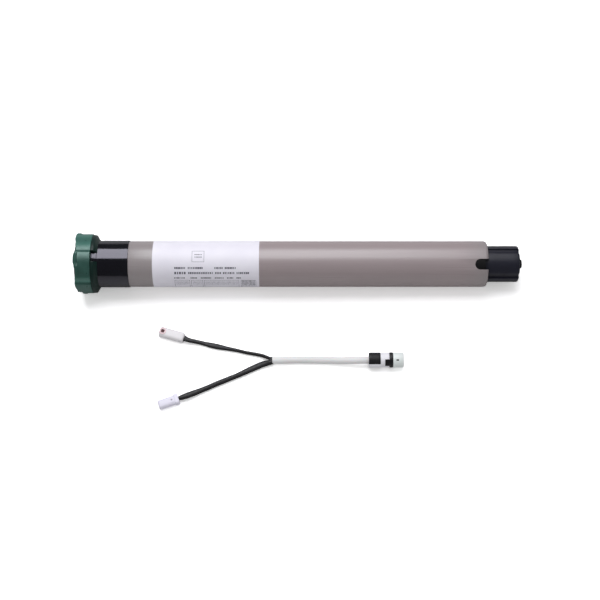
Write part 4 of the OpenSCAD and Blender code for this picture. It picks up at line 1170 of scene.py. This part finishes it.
def pill(name, length, width, height, radius, x0=0.0, steps=5):
    """Block with round edges, its rear at x0, centred on the axis and standing on height 0."""
    side, section = width / 2 - radius, []
    for cy, cz, a0 in ((side, radius, -90), (side, height - radius, 0), (-side, height - radius, 90),
                       (-side, radius, 180)):
        section += arc(cy, cz, radius, a0, a0 + 90, steps)
    turns = [math.radians(a) for a in (0, 22, 45, 67, 90)]
    end = radius * 0.6
    stations = [(x0 + end * (1 - math.cos(t)), end * (1 - math.sin(t))) for t in turns]
    stations += [(2 * x0 + length - x, inset) for x, inset in reversed(stations)]
    rings, middle = [], height / 2
    for x, inset in stations:
        ky, kz = 1 - inset / (width / 2), 1 - inset / middle
        rings.append([Vector((x, y * ky, middle + (z - middle) * kz)) / 1000 for y, z in section])
    return skin(name, rings)


def block(name, half, z0, z1, x0, x1):
    """Block with slightly rounded edges, across the axis from height z0 to z1."""
    return prism(name, rounded_outline([(-half, z0), (half, z0), (half, z1), (-half, z1)], 0.1), x0, x1)


def on_leg(piece, route, turn):
    """Sets a connector at the end of a leg's route, turned about the vertical."""
    x, y, _ = route[-1]
    piece.data.transform(FLOOR_MATRIX @ moved(x, y) @ Matrix.Rotation(math.radians(turn), 4, "Z"))
    return piece


def connector_a(name):
    """Larger connector, with a ring round the square hole in its top, and a dark block filling the hole as
    painted shade.
    """
    pale = moulded("connector_pale_moulding", shade(236, 234, 236), 0.46, specular=0.35, mottle=0.02,
                   depth=1e-5)
    rosy = moulded("connector_ring_moulding", shade(240, 214, 218), 0.42, mottle=0.05, depth=1e-5)
    # Painted shade: a dark red-brown block fills the square hole nearly to its top
    dark = moulded("connector_hole_shade_moulding", shade(84, 40, 44), 0.5, specular=0.4, mottle=0.12)
    shell = pill(name + "_shell", length=25, width=10, height=8.0, radius=2.9, x0=-25.4, steps=8)
    cut(shell, [pill("tail", length=6, width=8.4, height=7.2, radius=1.4, x0=-6.2)], "UNION")
    cut(shell, [block("well", half=1.8, z0=6.4, z1=9.5, x0=-23.6, x1=-20.0)])
    ring = turned(name + "_ring", [
        (7.0, 2.0), (7.0, 3.5), (8.25, 3.45), (8.5, 3.2), (8.5, 2.6), (8.3, 2.45), (8.3, 2.0)], 56)
    ring.data.transform(moved(x=-21.8) @ Matrix.Rotation(-math.pi / 2, 4, "Y"))
    # The block that carries the hole's painted shade
    hole_shade = block(name + "_insert", half=1.75, z0=6.45, z1=7.9, x0=-23.55, x1=-20.05)
    for piece, finish, *nodes in ((shell, pale, name), (ring, rosy), (hole_shade, dark)):
        settle(on_leg(piece, LEG_A_ROUTE, LEG_A_TURN), HOUSING, "connector_white", finish, *nodes)


def connector_b(name):
    """Smaller connector, with a grey sheet in the slot of its top as painted shade of the latch window."""
    lilac = moulded("connector_lilac_moulding", shade(240, 238, 252), 0.42, mottle=0.02, depth=1e-5)
    # Painted shade: a grey sheet at the slot's floor stands for the shade in the latch window
    grey = moulded("connector_window", shade(186, 184, 194), 0.5, specular=0.4)
    shell = pill(name + "_shell", length=20.2, width=9.3, height=7.4, radius=3.2, x0=-20.2, steps=8)
    cut(shell, [pill("rear", length=4.5, width=9.9, height=7.7, radius=1.6, x0=-4.5)], "UNION")
    cut(shell, [block("slot", half=0.8, z0=6.9, z1=9, x0=-7.6, x1=-5.9)])
    latch_shade = block(name + "_window", half=0.75, z0=6.8, z1=7.1, x0=-7.55, x1=-5.95)
    for piece, finish, *nodes in ((shell, lilac, name), (latch_shade, grey)):
        settle(on_leg(piece, LEG_B_ROUTE, LEG_B_TURN), HOUSING, "connector_white", finish, *nodes)


class MOTOR_OT_connectors(Operator):
    """Makes the two small connectors at the ends of the legs"""
    bl_idname = "motor.connectors"
    bl_label = "Connectors"

    def execute(self, context):
        connector_a("connector_a")
        connector_b("connector_b")
        return {"FINISHED"}


# How wide the shrunk sleeves of the legs are from the fork to the connector, and how high they may be, as
# shares of their diameter
LEG_A_WIDTHS = (
    0.8, 0.82, 0.84, 0.88, 0.87, 0.86, 0.84, 0.88, 1.0, 1.13, 1.38, 1.5, 1.4, 1.14, 1.08, 1.16, 1.26, 1.58,
)
LEG_B_WIDTHS = (
    0.72, 1.0, 1.28, 1.3, 1.28, 1.2, 1.1, 1.0, 1.04, 1.06, 1.06, 1.04, 1.04, 1.08, 1.22, 1.26, 1.12, 0.8,
)
LEG_LOWEST, LEG_HIGHEST = 0.8, 1.08
# The round cable's unevenness: how much, and how many radians of waves it has along it
CABLE_SWELL, CABLE_FLATS = (0.006, 37), (0.015, 9)


def leg_section(widths, place):
    """Radius as a share, and flatness, of a leg at a place from 0 to 1 along it."""
    at = place * (len(widths) - 1)
    k = min(int(at), len(widths) - 2)
    wide = widths[k] + (widths[k + 1] - widths[k]) * ease(0, 1, at - k)
    high = min(LEG_HIGHEST, max(LEG_LOWEST, 1 / wide))
    return math.sqrt(wide * high), math.sqrt(high / wide)


def cable_section(place):
    """Radius as a share, and flatness, of the round cable, which is slightly uneven."""
    swell, flat = (share * math.sin(waves * place) for share, waves in (CABLE_SWELL, CABLE_FLATS))
    return 1 + swell, 1 - flat


def smooth_route(points, steps):
    """Points along a smooth line through the route's points."""
    line, last = [], len(points) - 1
    for i in range(last):
        a, b, c, d = (Vector(points[min(max(k, 0), last)]) for k in (i - 1, i, i + 1, i + 2))
        bend, twist = 2 * a - 5 * b + 4 * c - d, 3 * b - 3 * c + d - a
        for t in (k / steps for k in range(steps)):
            line.append(0.5 * (2 * b + (c - a) * t + bend * t * t + twist * t ** 3))
    return line + [Vector(points[last])]


def sleeve(name, route, radius, section, sides, steps=5):
    """Tube along a route on the floor, whose section depends on the place along it. Its ends are closed."""
    line = smooth_route(route, steps)
    last = len(line) - 1
    rings = []
    for i, point in enumerate(line):
        way = (line[min(i + 1, last)] - line[max(i - 1, 0)]).normalized()
        side = Vector((0, 0, 1)).cross(way).normalized()
        lift = way.cross(side)
        share, flat = section(i / last)
        turns = [2 * math.pi * k / sides for k in range(sides)]
        side, lift = side * (radius * share / flat), lift * (radius * share * flat)
        rings.append([on_floor(*(point + side * math.cos(a) + lift * math.sin(a))) for a in turns])
    return skin(name, rings), [on_floor(*point) for point in line]


def pieces(*names):
    return [bpy.data.objects[name] for name in names]


class MOTOR_OT_lead(Operator):
    """Lays the round cable and its two sleeved legs on the floor"""
    bl_idname = "motor.lead"
    bl_label = "Supply lead"

    def execute(self, context):
        s = context.scene.blind_motor.lead
        cable, path = sleeve("lead_sheath", CABLE_ROUTE, mm(s.cable) / 2, cable_section, 32)
        settle(cable, HOUSING, "cable_white", cable_sheath(tuple(s.cable_colour)), "lead_cable")

        shell_a = pieces("connector_a_shell", "connector_a_ring", "connector_a_insert")
        shell_b = pieces("connector_b_shell", "connector_b_window")
        for name, node, route, width, widths, end in (
            ("leg_sleeve_a", "lead_leg_a", LEG_A_ROUTE, s.leg_a, LEG_A_WIDTHS, shell_a),
            ("leg_sleeve_b", "lead_leg_b", LEG_B_ROUTE, s.leg_b, LEG_B_WIDTHS, shell_b),
        ):
            leg, path = sleeve(name, route, mm(width) / 2, lambda place: leg_section(widths, place), 24)
            settle(leg, HOUSING, "leg_black", sleeve_skin(name + "_skin", shade(34, 34, 36)), node)

        fork_x, fork_y, fork_height, fork_length, wall, wide, flat = 172.4, -93.1, 2.9, 4.6, 0.6, 1.3, 0.95
        radii = ((0, 2.2), (0.08, 2.5), (0.5, 2.75), (0.92, 3.0), (1, 2.7))
        outer = [(fork_x + fork_length * share, r) for share, r in radii]
        fork = turned("fork_sleeve", outer + [(x, r - wall) for x, r in reversed(outer)], 40)
        fork.data.transform(
            FLOOR_MATRIX @ moved(0, fork_y, fork_height) @ Matrix.Diagonal((1, wide, flat, 1)))
        settle(fork, HOUSING, "leg_black", sleeve_skin("fork_sleeve_skin", shade(30, 30, 33)))
        return {"FINISHED"}


class MOTOR_OT_inner_finishes(Operator):
    """Gives every piece that keeps its CAD shape its own worked finish"""
    bl_idname = "motor.inner_finishes"
    bl_label = "Inner finishes"

    def execute(self, context):
        black = moulded("inner_black", shade(34, 34, 38), 0.5, mottle=0.12, depth=2.2e-5, spark=1400)
        brass = machined("contact_brass", shade(206, 170, 96), 0.28, lines=(2600, 500, 500))
        finishes = {
            "gear_steel": machined("gear_steel", shade(150, 152, 156), 0.3, lines=900),
            "core_steel": laminated_iron(),
            "gear_nylon": moulded("gear_nylon", shade(214, 208, 190), 0.44, mottle=0.06, depth=1.6e-5,
                                  spark=1400),
            "carrier_grey": moulded("carrier_grey", shade(120, 124, 128), 0.48, mottle=0.1, spark=1600),
            "board_green": circuit_board(),
            "component_black": moulded("chip_black", shade(30, 31, 34), 0.42, mottle=0.1, depth=8e-6,
                                       spark=2600),
            "header_white": moulded("header_white", shade(226, 222, 210), 0.42, mottle=0.05, depth=1.5e-5),
            "socket_grey": moulded("socket_grey", shade(60, 60, 64), 0.5, mottle=0.1),
            "contact_brass": brass,
            "bronze": sintered("sintered_bronze", shade(176, 126, 74)),
            "magnet_grey": sintered("magnet_ferrite", shade(66, 66, 70)),
            "can_steel": drawn_steel(),
            "damper_rubber": rubbery("damper_rubber", shade(44, 44, 46)),
            "carbon": rubbery("brush_carbon", shade(48, 48, 52), 0.55),
            "copper": wound_copper(),
            "wire_red": rubbery("wire_red", shade(176, 40, 38), 0.45, mottle=0.1, depth=1.2e-5),
            "wire_black": rubbery("wire_black", shade(36, 36, 40), 0.45, mottle=0.12, depth=1.2e-5),
            # A black moulding, made darker than the other black mouldings as painted shade of the tube's
            # inside seen through the torque slot
            "cap_black": moulded("cap_black", shade(15, 15, 17), 0.6, specular=0.3, mottle=0.1, spark=1400),
            "plug_black": brass,
        }
        slots = {row["node"]: row["material_slot"] for row in frame["record"]["subparts"]}
        for name, piece in NODES.items():
            if not piece.hide_render:
                piece.data.materials.clear()
                piece.data.materials.append(finishes.get(slots[name], black))
        return {"FINISHED"}


# Half the floor's side in metres, and how far from the motor's middle it begins to fade and ends in white
FLOOR_HALF, MOTOR_MIDDLE, FADE_START, FADE_END = 6, (0.22, 0, 0), 0.45, 0.9


def floor_paper(s):
    """White paper with a tone of its own for each kind of ray. The camera sees it fade to plain white."""
    paper = bpy.data.materials.new("paper")
    paper.use_nodes = True
    tree = paper.node_tree
    tree.nodes.clear()

    def tone(level, glow=0.0):
        cloth = new_node(tree, "ShaderNodeBsdfDiffuse", {"Color": (level, level, level, 1)}).outputs[0]
        if not glow:
            return cloth
        lit = new_node(tree, "ShaderNodeEmission", {"Strength": glow}).outputs[0]
        return new_node(tree, "ShaderNodeAddShader", {0: cloth, 1: lit}).outputs[0]

    def either(factor, low, high):
        return new_node(tree, "ShaderNodeMixShader", {0: factor, 1: low, 2: high}).outputs[0]

    path = new_node(tree, "ShaderNodeLightPath").outputs
    shader = either(path["Is Glossy Ray"], tone(s.floor_tone), tone(s.floor_mirrored))
    shader = either(path["Is Camera Ray"], shader, tone(s.floor_seen, s.floor_glow))
    place = new_node(tree, "ShaderNodeNewGeometry").outputs["Position"]
    off = new_node(tree, "ShaderNodeVectorMath", {0: place, 1: MOTOR_MIDDLE}, operation="DISTANCE")
    far = new_node(tree, "ShaderNodeMapRange", {
        "Value": off.outputs["Value"], "From Min": FADE_START, "From Max": FADE_END})
    seen_far = new_node(tree, "ShaderNodeMath", {0: far.outputs["Result"], 1: path["Is Camera Ray"]},
                        operation="MULTIPLY")
    white = new_node(tree, "ShaderNodeEmission").outputs[0]
    new_node(tree, "ShaderNodeOutputMaterial", {"Surface": either(seen_far.outputs[0], shader, white)})
    return paper


# Where a ray's direction passes from one of the room's lights to the other: upwards through the horizon, and
# from the viewer's side to the side behind the motor
HORIZON, SIDES = (-0.02, 0.03), (-0.7, 0.5)


def white_room(s):
    """World that is white to the camera, dim in reflections and brighter from the viewer's side."""
    room = bpy.data.worlds.new("room")
    room.use_nodes = True
    tree = room.node_tree

    def spread(value, *ends):
        values = dict(zip(("From Min", "From Max", "To Min", "To Max"), ends), Value=value)
        return new_node(tree, "ShaderNodeMapRange", values).outputs["Result"]

    def either(test, low, high):
        values = {"Factor": test, "A": low, "B": high}
        return new_node(tree, "ShaderNodeMix", values, data_type="FLOAT").outputs[0]

    path = new_node(tree, "ShaderNodeLightPath").outputs
    place = new_node(tree, "ShaderNodeTexCoord").outputs["Generated"]
    way = new_node(tree, "ShaderNodeSeparateXYZ", {0: place}).outputs
    reflected = spread(way["Z"], *HORIZON, 1.0, s.mirrored)
    level = either(path["Is Glossy Ray"], spread(way["Y"], *SIDES, s.fill, s.ambient), reflected)
    level = either(path["Is Transmission Ray"], level, reflected)
    level = either(path["Is Camera Ray"], level, 1.0)
    background = tree.nodes["Background"]
    background.inputs["Color"].default_value = (1, 1, 1, 1)
    tree.links.new(level, background.inputs["Strength"])
    return room


# Where the lamp hangs: over a place along the motor, and how far from it, in metres
LAMP_X, LAMP_DISTANCE, LAMP_COLOUR = 0.055, 1.2, (0.97, 0.965, 1.0)


class MOTOR_OT_stage(Operator):
    """Sets up the floor, the large lamp and the white room"""
    bl_idname = "motor.stage"
    bl_label = "Stage"

    def execute(self, context):
        s = context.scene.blind_motor.stage
        h = FLOOR_HALF
        corners = [FLOOR_MATRIX @ Vector((x, y, 0)) for x, y in ((-h, -h), (h, -h), (h, h), (-h, h))]
        mesh = bpy.data.meshes.new("floor")
        mesh.from_pydata([tuple(v) for v in corners], [], [(0, 1, 2, 3)])
        mesh.materials.append(floor_paper(s))
        floor = placed("floor", mesh)

        lamp = bpy.data.lights.new("lamp", "AREA")
        lamp.shape = "RECTANGLE"
        lamp.size = s.lamp_length
        lamp.size_y = s.lamp_width
        lamp.energy = s.lamp_power
        lamp.color = LAMP_COLOUR
        holder = placed("lamp", lamp)
        back = Vector((0, math.cos(s.lamp_angle), math.sin(s.lamp_angle)))
        holder.location = Vector((LAMP_X, 0, 0)) + back * LAMP_DISTANCE
        holder.rotation_euler = (s.lamp_angle - math.pi / 2, 0, 0)

        context.scene.world = white_room(s)
        context.scene.view_settings.view_transform = "Standard"
        return {"FINISHED"}


STEPS = (
    "camera", "plug", "connectors", "lead", "tube", "head", "crown", "collar", "label", "hub",
    "inner_finishes", "stage",
)


class MOTOR_PT_panel(Panel):
    """Lists the steps that dress the motor"""
    bl_idname = "MOTOR_PT_panel"
    bl_label = "Blind motor"
    bl_space_type = "VIEW_3D"
    bl_region_type = "UI"
    bl_category = "Blind motor"

    def draw(self, context):
        settings = context.scene.blind_motor
        for group in MotorSettings.__annotations__:
            box = self.layout.box()
            values = getattr(settings, group)
            for key in values.__annotations__:
                box.prop(values, key)
        for step in STEPS:
            self.layout.operator("motor." + step)


CLASSES = (
    TubeSettings, HeadSettings, CrownSettings, HubSettings, LeadSettings, StageSettings, MotorSettings,
    MOTOR_OT_camera, MOTOR_OT_plug, MOTOR_OT_connectors, MOTOR_OT_lead, MOTOR_OT_tube, MOTOR_OT_head,
    MOTOR_OT_crown, MOTOR_OT_collar, MOTOR_OT_label, MOTOR_OT_hub, MOTOR_OT_inner_finishes, MOTOR_OT_stage,
    MOTOR_PT_panel,
)


def register():
    for item in CLASSES:
        bpy.utils.register_class(item)
    bpy.types.Scene.blind_motor = PointerProperty(type=MotorSettings)


def unregister():
    del bpy.types.Scene.blind_motor
    for item in reversed(CLASSES):
        bpy.utils.unregister_class(item)


def main():
    register()
    for step in STEPS:
        getattr(bpy.ops.motor, step)()


if __name__ == "__main__":
    main()
